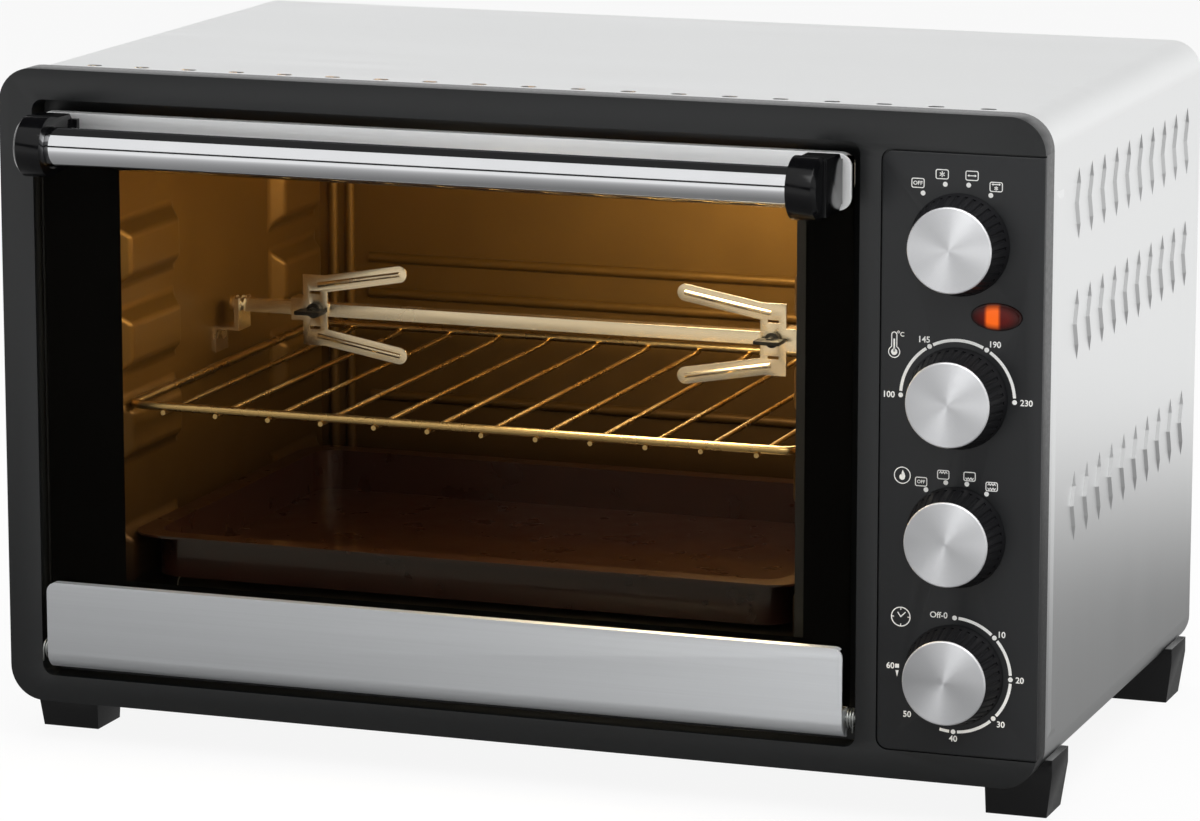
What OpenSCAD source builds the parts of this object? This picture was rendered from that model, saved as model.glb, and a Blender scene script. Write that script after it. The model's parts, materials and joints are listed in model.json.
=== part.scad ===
// Countertop convection oven with a rotisserie and a drop-down glass door.
// Millimetres. +Z is up, the door faces -Y and X runs to the right.
// The origin is on the table, under the middle of the oven.

/* [Cabinet] */
// Width of the front frame
oven_w = 550; // [500:1:600]
// Outer corner radius of the front frame
corner_r = 18; // [12:1:24]
// Height of the feet
foot_h = 22; // [16:1:30]
// Thickness of the stainless outer sheet
sheet_t = 1; // [0.8:0.1:1.5]
// Step from the frame's outside in to the outer sheet
wrap_inset = 1.8; // [1.2:0.1:2]
// Width of the outer sheet's folded flanges
flange_w = 12; // [10:1:16]
// Thickness of the base plate
base_t = 1.2; // [1:0.1:2.5]
// Thickness of the back panel
back_t = 1; // [0.8:0.1:1.5]

/* [Front frame] */
// Thickness of the frame's face
frame_t = 3; // [2.6:0.1:5]
// Depth of the frame's outer rim
rim_depth = 16; // [12:1:22]
// Wall of the frame's outer rim
rim_t = 3; // [3:0.1:4]
// Width of the left stile
stile_w = 18.3; // [16:0.1:24]
// Height of the sill under the door
sill_h = 13.8; // [12:0.1:20]
// Width of the post between the door opening and the fascia
post_w = 11.5; // [10:0.1:16]
// Height of the head above the door opening
head_h = 15.6; // [14:0.1:20]
// Corner radius of the door opening
opening_r = 6; // [3:0.5:10]
// Depth of the return round the door opening
return_depth = 15; // [15:0.5:20]
// Wall of that return, and of the flange behind it
return_t = 1.5; // [1:0.1:2]

/* [Door] */
// Gap at each side of the door
door_gap = 3.8; // [3.5:0.1:5]
// Gap under the door
door_gap_bottom = 4.5; // [3:0.1:6]
// Gap above the door
door_gap_top = 5.9; // [3:0.1:8]
// Thickness of the glass
glass_t = 4; // [3:0.5:6]
// Height of the steel top rail
top_rail_h = 28; // [26:1:36]
// How far the top rail stands in front of the glass
top_rail_reach = 1.5; // [1.2:0.1:3]
// Height of the steel bottom rail
bottom_rail_h = 46; // [40:1:60]
// Corner radius of the bottom rail at its top
bottom_rail_r = 5; // [2:0.5:8]
// How far the bottom rail stands in front of the glass
bottom_rail_reach = 5; // [3:0.5:6]
// Sheet thickness of the rails
rail_t = 1.2; // [1:0.1:2]
// How much shorter the bottom rail is at each end than the glass
rail_short = 1.5; // [1:0.1:3]
// Corner radius of the top rail
rail_r = 7; // [4:0.5:10]
// Diameter of the hinge pins
hinge_pin_d = 5; // [4:0.5:6]
// Length of each hinge pin inside the bottom rail
hinge_pin_in = 14; // [10:1:20]
// Width of each hinge bearing block
hinge_block_w = 7; // [5:0.5:8]
// Wire diameter of the hinge springs
spring_wire_d = 0.9; // [0.7:0.1:1]
// Mean coil diameter of the hinge springs
spring_coil_d = 10; // [9:0.5:11]
// Number of curls of a hinge spring
spring_curls = 2.5; // [2:0.5:2.5]
// Free gap between two curls
spring_curl_gap = 0.5; // [0.45:0.05:0.6]
// Straight leg at each end of a hinge spring
spring_leg = 6; // [3:0.5:7]

/* [Handle] */
// Diameter of the handle tube
handle_d = 20; // [16:0.5:24]
// Wall of the handle tube
handle_wall = 1.2; // [0.8:0.1:2]
// Tube axis in front of the frame's face
handle_out = 28; // [26:1:45]
// Tube axis below the top of the door
handle_drop = 13.5; // [11:0.5:16]
// Width of a handle bracket
bracket_w = 16; // [15:1:24]
// Diameter of a handle bracket's barrel
bracket_h = 31; // [28:1:42]
// Chamfer round the outer end of a bracket's barrel
bracket_edge = 2; // [1:0.5:3]
// Inset of a bracket from the end of the door
bracket_inset = 4.5; // [1:0.5:8]
// Length of tube inside each bracket
tube_in = 11; // [6:1:13]
// Diameter of the handle screws
handle_screw_d = 4; // [3:0.5:5]

/* [Controls] */
// Width of the fascia
fascia_w = 80.6; // [76:0.1:84]
// Top of the fascia below the top of the frame
fascia_down = 19; // [17:0.1:26]
// Bottom of the fascia above the bottom of the frame
fascia_up = 15.2; // [13:0.1:18]
// Seat depth of the fascia in the frame
fascia_t = 2; // [1.2:0.1:2.2]
// How far the fascia stands in front of the frame
fascia_proud = 0.3; // [0:0.1:0.6]
// Groove round the fascia
groove = 0.9; // [0.5:0.1:1.5]
// Knob axes, in from the right edge of the frame
knob_in = 42; // [38:0.5:46]
// Top knob's axis below the top of the fascia
knob_top = 44; // [38:0.5:48]
// Bottom knob's axis above the bottom of the fascia
knob_bottom = 39.8; // [36:0.1:46]
// Extra space between the top two knobs, for the pilot lamp
lens_gap = 6.5; // [6:0.5:12]
// Diameter of a knob's skirt at its base
knob_d = 50; // [44:0.5:54]
// Diameter of a knob at its cap
knob_cap_d = 42; // [38:0.5:46]
// Height of a knob
knob_h = 18; // [15:0.5:24]
// Thickness of the aluminium caps
cap_t = 1.4; // [0.8:0.1:2]
// Number of flutes round a knob
flutes = 36; // [24:1:44]
// Diameter of the control shafts
shaft_d = 6; // [5:0.5:8]
// Diameter of the control bushes
bush_d = 9.5; // [8.5:0.5:12]
// Width of the pilot lens
lens_w = 25; // [18:0.5:30]
// Height of the pilot lens
lens_h = 12.8; // [9:0.2:15]
// Pilot lens in from the right edge of the frame
lens_in = 23; // [20:0.5:26]
// Diameter of the fan switch's body
fan_switch_d = 34; // [30:1:44]
// Length of the fan switch's body
fan_switch_l = 24; // [20:1:32]
// Diameter of the function switch's body
function_switch_d = 36; // [30:1:44]
// Length of the function switch's body
function_switch_l = 28; // [20:1:36]

/* [Cavity] */
// Inner width of the cavity
cavity_w = 372; // [340:1:400]
// Inner height of the cavity
cavity_h = 273; // [245:1:310]
// Inner depth of the cavity
cavity_d = 279; // [250:1:320]
// Cavity top below the top of the frame
cavity_down = 27; // [25:0.5:34]
// Cavity back in front of the rear edge of the wrap
cavity_rear = 24.5; // [22:0.5:34]
// Cavity floor above the bottom of the frame
floor_up = 30; // [28:0.5:32]
// Thickness of the cavity walls
wall_t = 1; // [0.8:0.1:1.5]
// How far the mouth's edge covers the side walls
mouth_cover = 2.5; // [1:0.5:3]
// Depth of the embossed rack guides
guide_out = 8; // [7:0.5:9]
// Slope of a rack guide's edges, as its height over that depth
guide_slope = 0.875; // [0.7:0.025:1]
// Height of a rack guide
guide_h = 34; // [28:1:38]
// Length of the front rack guides
guide_front_l = 75; // [50:1:80]
// Length of the rear rack guides
guide_rear_l = 63; // [40:1:70]
// Tops of the rack guides above the cavity floor: tray, rack, and two spare levels
guide_up = [58.4, 126.6, 173, 219];

/* [Rack and tray] */
// Gap between the rack or tray and each side wall
shelf_side_gap = 4; // [3.5:0.5:5]
// Front of the rack and tray behind the front of the frame
shelf_front = 24; // [22:1:30]
// Rear of the rack in front of the cavity's back
rack_rear = 15.5; // [12:0.5:40]
// Frame wire of the rack
rack_wire_d = 4.5; // [3.5:0.5:6]
// Cross wires of the rack
rack_cross_d = 2.6; // [2:0.2:4]
// Number of cross wires
rack_cross_n = 12; // [8:1:14]
// Corner radius of the rack
rack_r = 8; // [6:1:20]
// Rear of the tray in front of the cavity's back
tray_rear = 25.5; // [14:0.5:50]
// Depth of the tray's pan
tray_h = 22; // [15:1:24]
// Width of the tray's rim
tray_rim_w = 10; // [9:1:16]
// Sheet thickness of the tray
tray_t = 1.2; // [0.8:0.1:2]

/* [Rotisserie] */
// Side of the square spit
spit_w = 7; // [6:0.5:8]
// Spit axis behind the front of the frame
spit_back = 155; // [150:1:165]
// Room between the rack and the turning forks, measured at the prongs' tips
spit_room = 2; // [2:0.5:8]
// Journal diameter at the left end of the spit
journal_d = 6; // [5:0.5:6]
// Web of each fork in from the side wall
fork_in = 51; // [40:1:80]
// Width of a fork's web
fork_web_w = 14; // [10:1:18]
// Height of a fork across its prongs
fork_h = 38; // [34:1:44]
// Length of the fork prongs
prong_l = 47; // [30:1:60]
// Width of a fork prong
prong_w = 9; // [6:0.5:11]
// Angle at which the prongs spread apart
prong_splay = 10; // [0:1:12]
// Sheet thickness of the forks
fork_t = 1.5; // [1:0.1:2]
// Diameter of the thumb screws
thumb_d = 4; // [3:0.5:5]
// Diameter of the drive socket
socket_d = 16; // [13:0.5:20]
// Diameter of the motor's output shaft
output_d = 8; // [6:0.5:10]

/* [Fan, heat and light] */
// Fan axis above the cavity floor
fan_up = 73; // [66:1:78]
// Diameter of the fan
fan_d = 84; // [70:1:86]
// Number of fan blades
fan_blades = 8; // [5:1:10]
// Diameter of the fan shaft
fan_shaft_d = 6; // [5:0.5:8]
// Diameter of the heating elements
heater_d = 7; // [6:0.5:9]
// Heating elements in from the cavity's floor and top
heater_in = 13; // [10:0.5:14]
// Heating elements in from the cavity's mouth and from its back
heater_end = 83.5; // [78:0.5:100]
// Lamp axis in front of the spit axis
lamp_front = 33; // [20:1:34]
// Diameter of the lamp's glass cover
lamp_d = 40; // [34:1:44]

/* [Louvres] */
// Length of a side louvre if both its legs were as long as its upper one
louvre_l = 38; // [30:1:42]
// Lower leg of a louvre against its upper one
louvre_low = 1.14; // [0.9:0.02:1.2]
// Last louvre in front of the rear edge of the wrap
louvre_rear = 34.6; // [24:0.1:60]
// Louvres in a row
louvre_n = 10; // [6:1:10]
// First louvre behind the front of the frame
louvre_back = 64; // [60:1:76]
// Middles of the louvre rows below the top of the frame
louvre_down = [201, 110, 50];
// Width of a louvre's ridge at its foot
louvre_w = 5; // [3.6:0.2:6]
// How far a louvre's elbow stands in front of its ends
louvre_run = 7; // [4:0.5:9]
// How far a louvre bulges out
louvre_out = 1.5; // [0.8:0.1:1.6]
// Number of vents along the front of the top
top_vent_n = 19; // [9:2:23]
// Width of a top vent
top_vent_w = 8; // [5:0.5:12]
// Depth of a top vent
top_vent_d = 4.4; // [3:0.2:6]
// Top vents behind the front of the frame
top_vent_back = 34; // [26:1:50]

/* [Feet] */
// Width of a foot across the oven at its top
foot_w = 32; // [26:1:40]
// Depth of a foot at its top
foot_d = 31; // [28:1:44]
// How much a foot narrows towards the table on each side
foot_taper = 2; // [1:0.5:9]
// Foot in from the side of the frame
foot_in = 2.5; // [2:0.5:8]
// Rise of a foot's lip up the side of the wrap
foot_lip = 8; // [4:1:9]
// Front feet behind the front of the frame
foot_front = 30; // [24:1:50]
// Rear feet in front of the back panel
foot_rear = 14; // [8:1:30]
// Diameter of the foot screws
foot_screw_d = 4; // [3:0.5:5]

/* [Fits] */
// Radial clearance of a pin or shaft that turns in its bore
run_gap = 0.05; // [0.03:0.01:0.1]
// Gap between pieces that slide or lie loosely on each other
slide_gap = 0.3; // [0.2:0.05:0.5]
// Gap round a piece that is fitted into another
seat_gap = 0.1; // [0.05:0.01:0.2]
// Radial clearance of a screw or bush in its hole
hole_gap = 0.3; // [0.2:0.05:0.5]

/* [Hidden] */
$fn = 64;
// Sides and heights of the cabinet
half_w = oven_w / 2;
cabinet_h = floor_up + cavity_h + cavity_down;
cabinet_d = return_depth + return_t + cavity_d + cavity_rear;
z_frame = foot_h;
z_top = foot_h + cabinet_h;
wrap_x = half_w - wrap_inset;
wrap_top = z_top - wrap_inset;
wrap_r = corner_r - wrap_inset;
wrap_bottom = z_frame + slide_gap;
base_top = z_frame + base_t;
turn_x = wrap_x - wrap_r;
turn_lap = 0.3 * wrap_r;
base_x = turn_x - slide_gap;
back_x = wrap_x - sheet_t - slide_gap;
back_z = wrap_bottom + sheet_t + slide_gap;
back_y = cabinet_d - back_t;
back_top = wrap_top - sheet_t - slide_gap;
back_r = wrap_r - sheet_t - slide_gap;

// Door opening, door and hinge
opening_w = oven_w - stile_w - post_w - fascia_w;
opening_h = cabinet_h - sill_h - head_h;
open_x0 = -half_w + stile_w;
open_x1 = open_x0 + opening_w;
open_z0 = z_frame + sill_h;
open_z1 = open_z0 + opening_h;
door_x0 = open_x0 + door_gap;
door_x1 = open_x1 - door_gap;
door_z0 = open_z0 + door_gap_bottom;
door_z1 = open_z1 - door_gap_top;
door_x = (open_x0 + open_x1) / 2;
rail_x0 = door_x0 + rail_short;
rail_x1 = door_x1 - rail_short;
glass_y1 = glass_t;
glass_rear = glass_y1 + seat_gap;
hinge_r = (bottom_rail_reach + glass_rear + rail_t) / 2 + 4;
hinge_y = hinge_r - bottom_rail_reach;
hinge_z = door_z0 + hinge_r;
hinge_bore_d = hinge_pin_d + 2 * run_gap;
block_t = return_depth - frame_t;
rail_end = hinge_pin_in + 2;
spring_room = door_gap + rail_short;
spring_pitch = spring_wire_d + spring_curl_gap;
spring_rise = spring_pitch * spring_curls;
bottom_rail_top = door_z0 + bottom_rail_h;
glass_z0 = hinge_z + hinge_pin_d / 2 + 3;
glass_z1 = door_z1 - rail_t - seat_gap;

// Handle
handle_z = door_z1 - handle_drop;
bracket_x0 = door_x0 + bracket_inset;
bracket_x1 = door_x1 - bracket_inset;
bracket_front = handle_out + bracket_h / 2;
bracket_half = bracket_h / 2;
bracket_foot_w = bracket_w + 3;
bracket_foot_h = 22;
bracket_foot_t = 3;
handle_screw_in = handle_screw_d * 3;
handle_screw_x0 = bracket_x0 + bracket_w / 2;
handle_screw_x1 = bracket_x1 - bracket_w / 2;

// Controls
fascia_x0 = half_w - fascia_w;
fascia_z0 = z_frame + fascia_up;
fascia_z1 = z_top - fascia_down;
fascia_r = 5;
knob_x = half_w - knob_in;
timer_z = fascia_z0 + knob_bottom;
fan_knob_z = fascia_z1 - knob_top;
knob_pitch = (fan_knob_z - timer_z - lens_gap) / 3;
function_z = timer_z + knob_pitch;
temperature_z = function_z + knob_pitch;
bush_hole_d = bush_d + 2 * hole_gap;
bush_out = 1.2;
knob_base = fascia_proud + 0.6;
knob_hub_d = shaft_d + 6;
knob_wall = 2.5;
shaft_out = knob_base + knob_h - cap_t - knob_wall;
shaft_in = 18;
shaft_bore_d = shaft_d + 2 * run_gap;
lens_x = half_w - lens_in;
lens_lift = 3.6;
lens_z = (temperature_z + fan_knob_z) / 2 + lens_lift;

// Cavity
cav_x0 = door_x - cavity_w / 2;
cav_x1 = door_x + cavity_w / 2;
cav_y0 = return_depth + return_t;
cav_y1 = cav_y0 + cavity_d;
cav_z0 = z_frame + floor_up;
cav_z1 = cav_z0 + cavity_h;
guide_front_y = cav_y0 + 4;
guide_rear_y = cav_y1 - 10 - guide_rear_l;
guide_bevel = guide_slope * guide_out;
guide_lean = sqrt(1 + guide_slope * guide_slope);
guide_skin = 1.3 * wall_t;
guide_tops = [for (up = guide_up) cav_z0 + up];
bead_r = 3;

// Rack and tray
shelf_x0 = cav_x0 + shelf_side_gap;
shelf_x1 = cav_x1 - shelf_side_gap;
wire_in = shelf_side_gap + rack_wire_d / 2;
rack_z = guide_tops[1] - guide_slope * wire_in + (rack_wire_d / 2 + slide_gap) * guide_lean;
rack_y1 = cav_y1 - rack_rear;
cross_z = rack_z - rack_wire_d / 2 - rack_cross_d / 2 + 0.6;
tray_z = guide_tops[0] - guide_slope * shelf_side_gap + slide_gap * guide_lean;
tray_y1 = cav_y1 - tray_rear;

// Rotisserie
fork_reach = (fork_h - prong_w) / 2 + prong_l * sin(prong_splay) + prong_w / 2;
spit_y = spit_back;
spit_z = rack_z + rack_wire_d / 2 + fork_reach + spit_room;
spit_x0 = cav_x0 + 8;
head_w = 3;
journal_l = 5;
bar_x0 = spit_x0 + head_w + journal_l;
socket_x0 = cav_x1 - 12;
socket_x1 = cav_x1 + wall_t + 9;
motor_x0 = cav_x1 + wall_t + 11;
motor_w = 46;
motor_l = 34;
post_d = 7;
fork_gap = slide_gap / 2;
fork_y = -(spit_w / 2 + fork_gap);
fork_left_x = cav_x0 + fork_in;
fork_right_x = cav_x1 - fork_in;

// Fan, heat and light
fan_y = (guide_front_y + guide_front_l + guide_rear_y) / 2;
fan_z = cav_z0 + fan_up;
guard_t = 1.2;
guard_d = fan_d + 10;
fan_x0 = cav_x1 + wall_t + 3;
fan_w = 15;
fan_post_r = fan_d / 2 + 12;
strap_x0 = fan_x0 + fan_w + 6;
strap_t = 2;
fan_motor_x0 = strap_x0 + strap_t;
fan_motor_l = 34;
fan_motor_d = 48;
lamp_y = spit_y - lamp_front;
lamp_z = (spit_z + motor_w / 2 + cav_z1 - heater_in) / 2;
lamp_dome_d = lamp_d - 6;
lamp_dome_l = 16;
lamp_glass_t = 1.5;
bulb_d = 22;
bulb_neck_d = 14;
holder_l = 32;
heater_y = [cav_y0 + heater_end, cav_y1 - heater_end];
heater_z = [cav_z0 + heater_in, cav_z1 - heater_in];
insulator_d = heater_d + 7;
insulator_neck_d = heater_d + 3;
insulator_l = 10;

// Rear and feet
gland_x = half_w - 95;
gland_z = z_frame + 38;
gland_reach = 9;
gland_d = 20;
gland_neck_d = 12;
screw_head_h = 2;
back_screw_d = 3.5;
back_screw_in = flange_w / 2 + sheet_t;
foot_x = half_w - foot_in - foot_w / 2;
foot_screw_x = turn_x - flange_w / 2 - foot_screw_d / 2;
foot_front_y = foot_front + foot_d / 2;
foot_rear_y = back_y - foot_rear - foot_d / 2;
foot_head_d = foot_screw_d * 2;
foot_head_h = 3;
foot_sink = 9;

// The front of the frame stands at y = 0 while the pieces are drawn, and this shift centres the part
rest_y = -(cabinet_d + gland_reach - bracket_front) / 2;

// Shapes that several pieces share

// Centres the pieces over the origin
module place() {
    translate([0, rest_y, 0]) children();
}

// Extrudes an outline in x and z from y0 to y1
module front_sheet(y0, y1) {
    translate([0, y1, 0]) rotate([90, 0, 0]) linear_extrude(y1 - y0) children();
}

// Extrudes an outline in y and z from x0 to x1
module side_sheet(x0, x1) {
    translate([x0, 0, 0]) rotate([90, 0, 90]) linear_extrude(x1 - x0) children();
}

// Round bar along x
module bar_x(d, x0, x1, y, z) {
    translate([x0, y, z]) rotate([0, 90, 0]) cylinder(d = d, h = x1 - x0);
}

// Round bar along y
module bar_y(d, y0, y1, x, z) {
    translate([x, y0, z]) rotate([-90, 0, 0]) cylinder(d = d, h = y1 - y0);
}

// Block between two corners
module block(x0, x1, y0, y1, z0, z1) {
    translate([x0, y0, z0]) cube([x1 - x0, y1 - y0, z1 - z0]);
}

// Rectangle between two corners with rounded corners
module rounded_rect(x0, x1, z0, z1, r) {
    translate([x0 + r, z0]) square([x1 - x0 - 2 * r, z1 - z0]);
    translate([x0, z0 + r]) square([x1 - x0, z1 - z0 - 2 * r]);
    for (x = [x0 + r, x1 - r], z = [z0 + r, z1 - r]) translate([x, z]) circle(r = r);
}

// Outline of the front frame, drawn in by inset
module frame_outline(inset) {
    rounded_rect(-half_w + inset, half_w - inset, z_frame + inset, z_top - inset, corner_r - inset);
}

// Section of the outer wrap, drawn in by inset
module wrap_outline(inset) {
    rounded_rect(-wrap_x + inset, wrap_x - inset, wrap_bottom + inset, wrap_top - inset, wrap_r - inset);
}

// Section of the wrap's sheet or of its rear flange, open below
module wrap_section(t) {
    difference() {
        wrap_outline(0);
        wrap_outline(t);
        translate([-turn_x, wrap_bottom - 1]) square([2 * turn_x, t + 2]);
    }
}

// Oval of the pilot lens, grown by grow
module lens_outline(grow) {
    steps = 48;
    polygon([
        for (i = [0 : steps - 1])
            [lens_x + (lens_w / 2 + grow) * cos(i * 360 / steps), lens_z + (lens_h / 2 + grow) * sin(i * 360 / steps)]
    ]);
}

// One bent louvre on a side, with its elbow at y and z
module louvre(y, z) {
    x0 = wrap_x - sheet_t / 2;
    x1 = wrap_x + louvre_out;
    w = louvre_w / 2;
    polyhedron(
        points = [
            [x0, y - w, z], [x1, y, z], [x0, y + w, z],
            for (s = [1, -louvre_low]) let (
                y1 = y + louvre_run * louvre_full * abs(s),
                z1 = z + louvre_l / 2 * louvre_full * s
            ) each [
                [x0, y1 - w, z1], [x1, y1, z1], [x0, y1 + w, z1],
                [x0, y + louvre_run * abs(s), z + louvre_l / 2 * s]
            ]
        ],
        faces = [
            [0, 3, 4, 1], [1, 4, 5, 2], [3, 6, 4], [4, 6, 5],
            [1, 8, 7, 0], [2, 9, 8, 1], [8, 10, 7], [9, 10, 8],
            [0, 2, 5, 3], [3, 5, 6], [0, 7, 9, 2], [7, 10, 9]
        ]
    );
}

// Slit behind the ridge of one louvre
module louvre_slit(y, z) {
    slit_w = 1.2;
    y0 = y + 0.6;
    run = louvre_run * louvre_full;
    h = louvre_l / 2 * louvre_full;
    y1 = y0 + run;
    y2 = y0 + run * louvre_low;
    z2 = z - h * louvre_low;
    side_sheet(wrap_x - 2 * sheet_t, wrap_x + louvre_out + 1) polygon([
        [y0, z], [y1, z + h], [y1 + slit_w, z + h], [y0 + slit_w, z], [y2 + slit_w, z2], [y2, z2]
    ]);
}

// Places of the louvres on one side as [y, z]
louvre_full = 0.5;
louvre_pitch = (cabinet_d - louvre_back - louvre_rear) / (louvre_n - 1);
louvre_places = [
    for (down = louvre_down, i = [0 : louvre_n - 1])
        [louvre_back + i * louvre_pitch, z_top - down]
];

// Slot of one vent in the top
module top_vent(x) {
    r = top_vent_d / 2 - 0.1;
    translate([0, 0, wrap_top - 2 * sheet_t]) linear_extrude(3 * sheet_t)
        rounded_rect(x - top_vent_w / 2, x + top_vent_w / 2,
            top_vent_back - top_vent_d / 2, top_vent_back + top_vent_d / 2, r);
}

// Stiffening bead down the front of a side, with sloping ends
module side_bead() {
    bead_y = rim_depth + 9;
    bead_w = 18;
    bead_slope = 5;
    bead_z0 = z_frame + corner_r;
    bead_z1 = z_top - 38;
    x0 = wrap_x - sheet_t / 2;
    x1 = wrap_x + 0.9;
    polyhedron(
        points = [
            [x0, bead_y, bead_z0], [x0, bead_y + bead_w, bead_z0],
            [x0, bead_y + bead_w, bead_z1], [x0, bead_y, bead_z1],
            [x1, bead_y + bead_slope, bead_z0 + bead_slope], [x1, bead_y + bead_w - bead_slope, bead_z0 + bead_slope],
            [x1, bead_y + bead_w - bead_slope, bead_z1 - bead_slope], [x1, bead_y + bead_slope, bead_z1 - bead_slope]
        ],
        faces = [[4, 7, 6, 5], [0, 3, 7, 4], [5, 6, 2, 1], [3, 2, 6, 7], [0, 4, 5, 1], [0, 1, 2, 3]]
    );
}

// Places of the screws that hold the back panel, as [x, z]
back_screw_places = [
    for (s = [-1, 1], z = [z_frame + 60, z_frame + cabinet_h / 2, z_top - 60])
        [s * (wrap_x - back_screw_in), z],
    for (x = [-half_w / 2, half_w / 2]) [x, wrap_top - back_screw_in]
];

// Feet as [x, y]
foot_places = [for (s = [-1, 1], y = [foot_front_y, foot_rear_y]) [s * foot_screw_x, y]];

// Holes of the foot screws through the base plate and the edge of the wrap on it
module foot_screw_holes() {
    for (p = foot_places)
        translate([p[0], p[1], z_frame - 1]) cylinder(d = foot_screw_d + 2 * seat_gap, h = base_t + sheet_t + 2);
}

// Cabinet

module outer_wrap() {
    vent_span = 2 * (half_w - 38);
    color("gainsboro") place() difference() {
        union() {
            front_sheet(rim_depth, cabinet_d) wrap_section(sheet_t);
            front_sheet(back_y - sheet_t, back_y) wrap_section(flange_w);
            for (s = [0, 1]) mirror([s, 0, 0]) {
                block(turn_x - flange_w, turn_x + turn_lap, rim_depth, back_y - sheet_t / 2,
                    base_top, base_top + sheet_t);
                side_bead();
                for (p = louvre_places) louvre(p[0], p[1]);
            }
        }
        for (i = [0 : top_vent_n - 1]) top_vent(-vent_span / 2 + i * vent_span / (top_vent_n - 1));
        for (s = [0, 1]) mirror([s, 0, 0]) for (p = louvre_places) louvre_slit(p[0], p[1]);
        for (p = back_screw_places)
            bar_y(back_screw_d + 2 * seat_gap, back_y - 2 * sheet_t, back_y + 1, p[0], p[1]);
        foot_screw_holes();
    }
}

module front_frame() {
    mouth_x0 = cav_x0 + mouth_cover;
    mouth_x1 = cav_x1 - mouth_cover;
    pin_hole_d = hinge_pin_d + 2 * hole_gap;
    color("#26282a") place() difference() {
        union() {
            front_sheet(0, frame_t) difference() {
                frame_outline(0);
                rounded_rect(open_x0, open_x1, open_z0, open_z1, opening_r);
            }
            front_sheet(0, rim_depth) difference() {
                frame_outline(0);
                frame_outline(rim_t);
            }
            front_sheet(0, return_depth + return_t) difference() {
                rounded_rect(open_x0 - return_t, open_x1 + return_t, open_z0 - return_t,
                    open_z1 + return_t, opening_r + return_t);
                rounded_rect(open_x0, open_x1, open_z0, open_z1, opening_r);
            }
            front_sheet(return_depth, return_depth + return_t) difference() {
                rounded_rect(open_x0 - return_t, open_x1 + return_t, open_z0 - return_t,
                    open_z1 + return_t, opening_r + return_t);
                rounded_rect(mouth_x0, mouth_x1, cav_z0, cav_z1, opening_r);
            }
        }
        front_sheet(-1, fascia_t) rounded_rect(fascia_x0 - groove, half_w + 2 * fascia_r,
            fascia_z0 - groove, fascia_z1 + groove, fascia_r + groove);
        for (z = [timer_z, function_z, temperature_z, fan_knob_z])
            bar_y(bush_hole_d, 0, frame_t + 1, knob_x, z);
        front_sheet(0, frame_t + 1) lens_outline(seat_gap);
        bar_x(pin_hole_d, open_x0 - return_t - hinge_block_w, open_x0 + 1, hinge_y, hinge_z);
        bar_x(pin_hole_d, open_x1 - 1, open_x1 + return_t + hinge_block_w, hinge_y, hinge_z);
    }
}

module control_fascia() {
    color("#202224") place() difference() {
        front_sheet(-fascia_proud, fascia_t) intersection() {
            rounded_rect(fascia_x0, half_w + 2 * fascia_r, fascia_z0, fascia_z1, fascia_r);
            frame_outline(0);
        }
        for (z = [timer_z, function_z, temperature_z, fan_knob_z])
            bar_y(bush_hole_d, -fascia_proud - 1, fascia_t + 1, knob_x, z);
        front_sheet(-fascia_proud - 1, fascia_t + 1) lens_outline(seat_gap);
    }
}

// Lens and neon body of the pilot lamp, one snap-in unit
module pilot_lamp() {
    lens_proud = 1.8;
    lens_bevel = 1.2;
    neon_d = 10;
    neon_l = 22;
    ear_t = 1.5;
    ear_w = lens_w + 6;
    color("#c8260c") place() {
        front_sheet(-lens_proud, frame_t) lens_outline(-lens_bevel);
        front_sheet(-fascia_proud - 0.5, frame_t) lens_outline(0);
        block(lens_x - ear_w / 2, lens_x + ear_w / 2, frame_t, frame_t + ear_t,
            lens_z - lens_h / 2, lens_z + lens_h / 2);
        bar_y(neon_d, frame_t, frame_t + neon_l, lens_x, lens_z);
    }
}

// Bush of a control, which passes through the frame and the fascia
module control_bush(z) {
    bar_y(bush_d, -bush_out, frame_t + 1, knob_x, z);
}

// Bore of a control for its shaft
module shaft_bore(z) {
    bar_y(shaft_bore_d, -bush_out - 1, frame_t + shaft_in + slide_gap, knob_x, z);
}

// Rotary switch with its terminals
module rotary_switch(z, d, l) {
    tab_l = 8;
    tab_w = 6;
    tab_t = 0.8;
    difference() {
        union() {
            bar_y(d, frame_t, frame_t + l, knob_x, z);
            control_bush(z);
            for (a = [45 : 90 : 315]) translate([knob_x, 0, z]) rotate([0, a, 0])
                block(d / 4, d / 4 + tab_w, frame_t + l - 1, frame_t + l + tab_l, -tab_t / 2, tab_t / 2);
        }
        shaft_bore(z);
    }
}

module fan_switch() {
    color("#d8d2c2") place() rotary_switch(fan_knob_z, fan_switch_d, fan_switch_l);
}

module function_switch() {
    color("#d8d2c2") place() rotary_switch(function_z, function_switch_d, function_switch_l);
}

// Thermostat: a steel case with a ceramic contact block
module thermostat() {
    case_w = 40;
    case_h = 30;
    case_l = 22;
    color("silver") place() difference() {
        union() {
            block(knob_x - case_w / 2, knob_x + case_w / 2, frame_t, frame_t + case_l,
                temperature_z - case_h / 2, temperature_z + case_h / 2);
            block(knob_x - case_w / 4, knob_x + case_w / 4, frame_t + case_l, frame_t + case_l + 12,
                temperature_z - case_h / 4, temperature_z + case_h / 4);
            control_bush(temperature_z);
        }
        shaft_bore(temperature_z);
    }
}

// Clockwork timer: a round can with its bell
module timer() {
    can_d = 52;
    can_l = 30;
    bell_d = 40;
    bell_l = 8;
    color("silver") place() difference() {
        union() {
            bar_y(can_d, frame_t, frame_t + can_l, knob_x, timer_z);
            bar_y(bell_d, frame_t + can_l, frame_t + can_l + bell_l, knob_x, timer_z);
            control_bush(timer_z);
        }
        shaft_bore(timer_z);
    }
}

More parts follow.
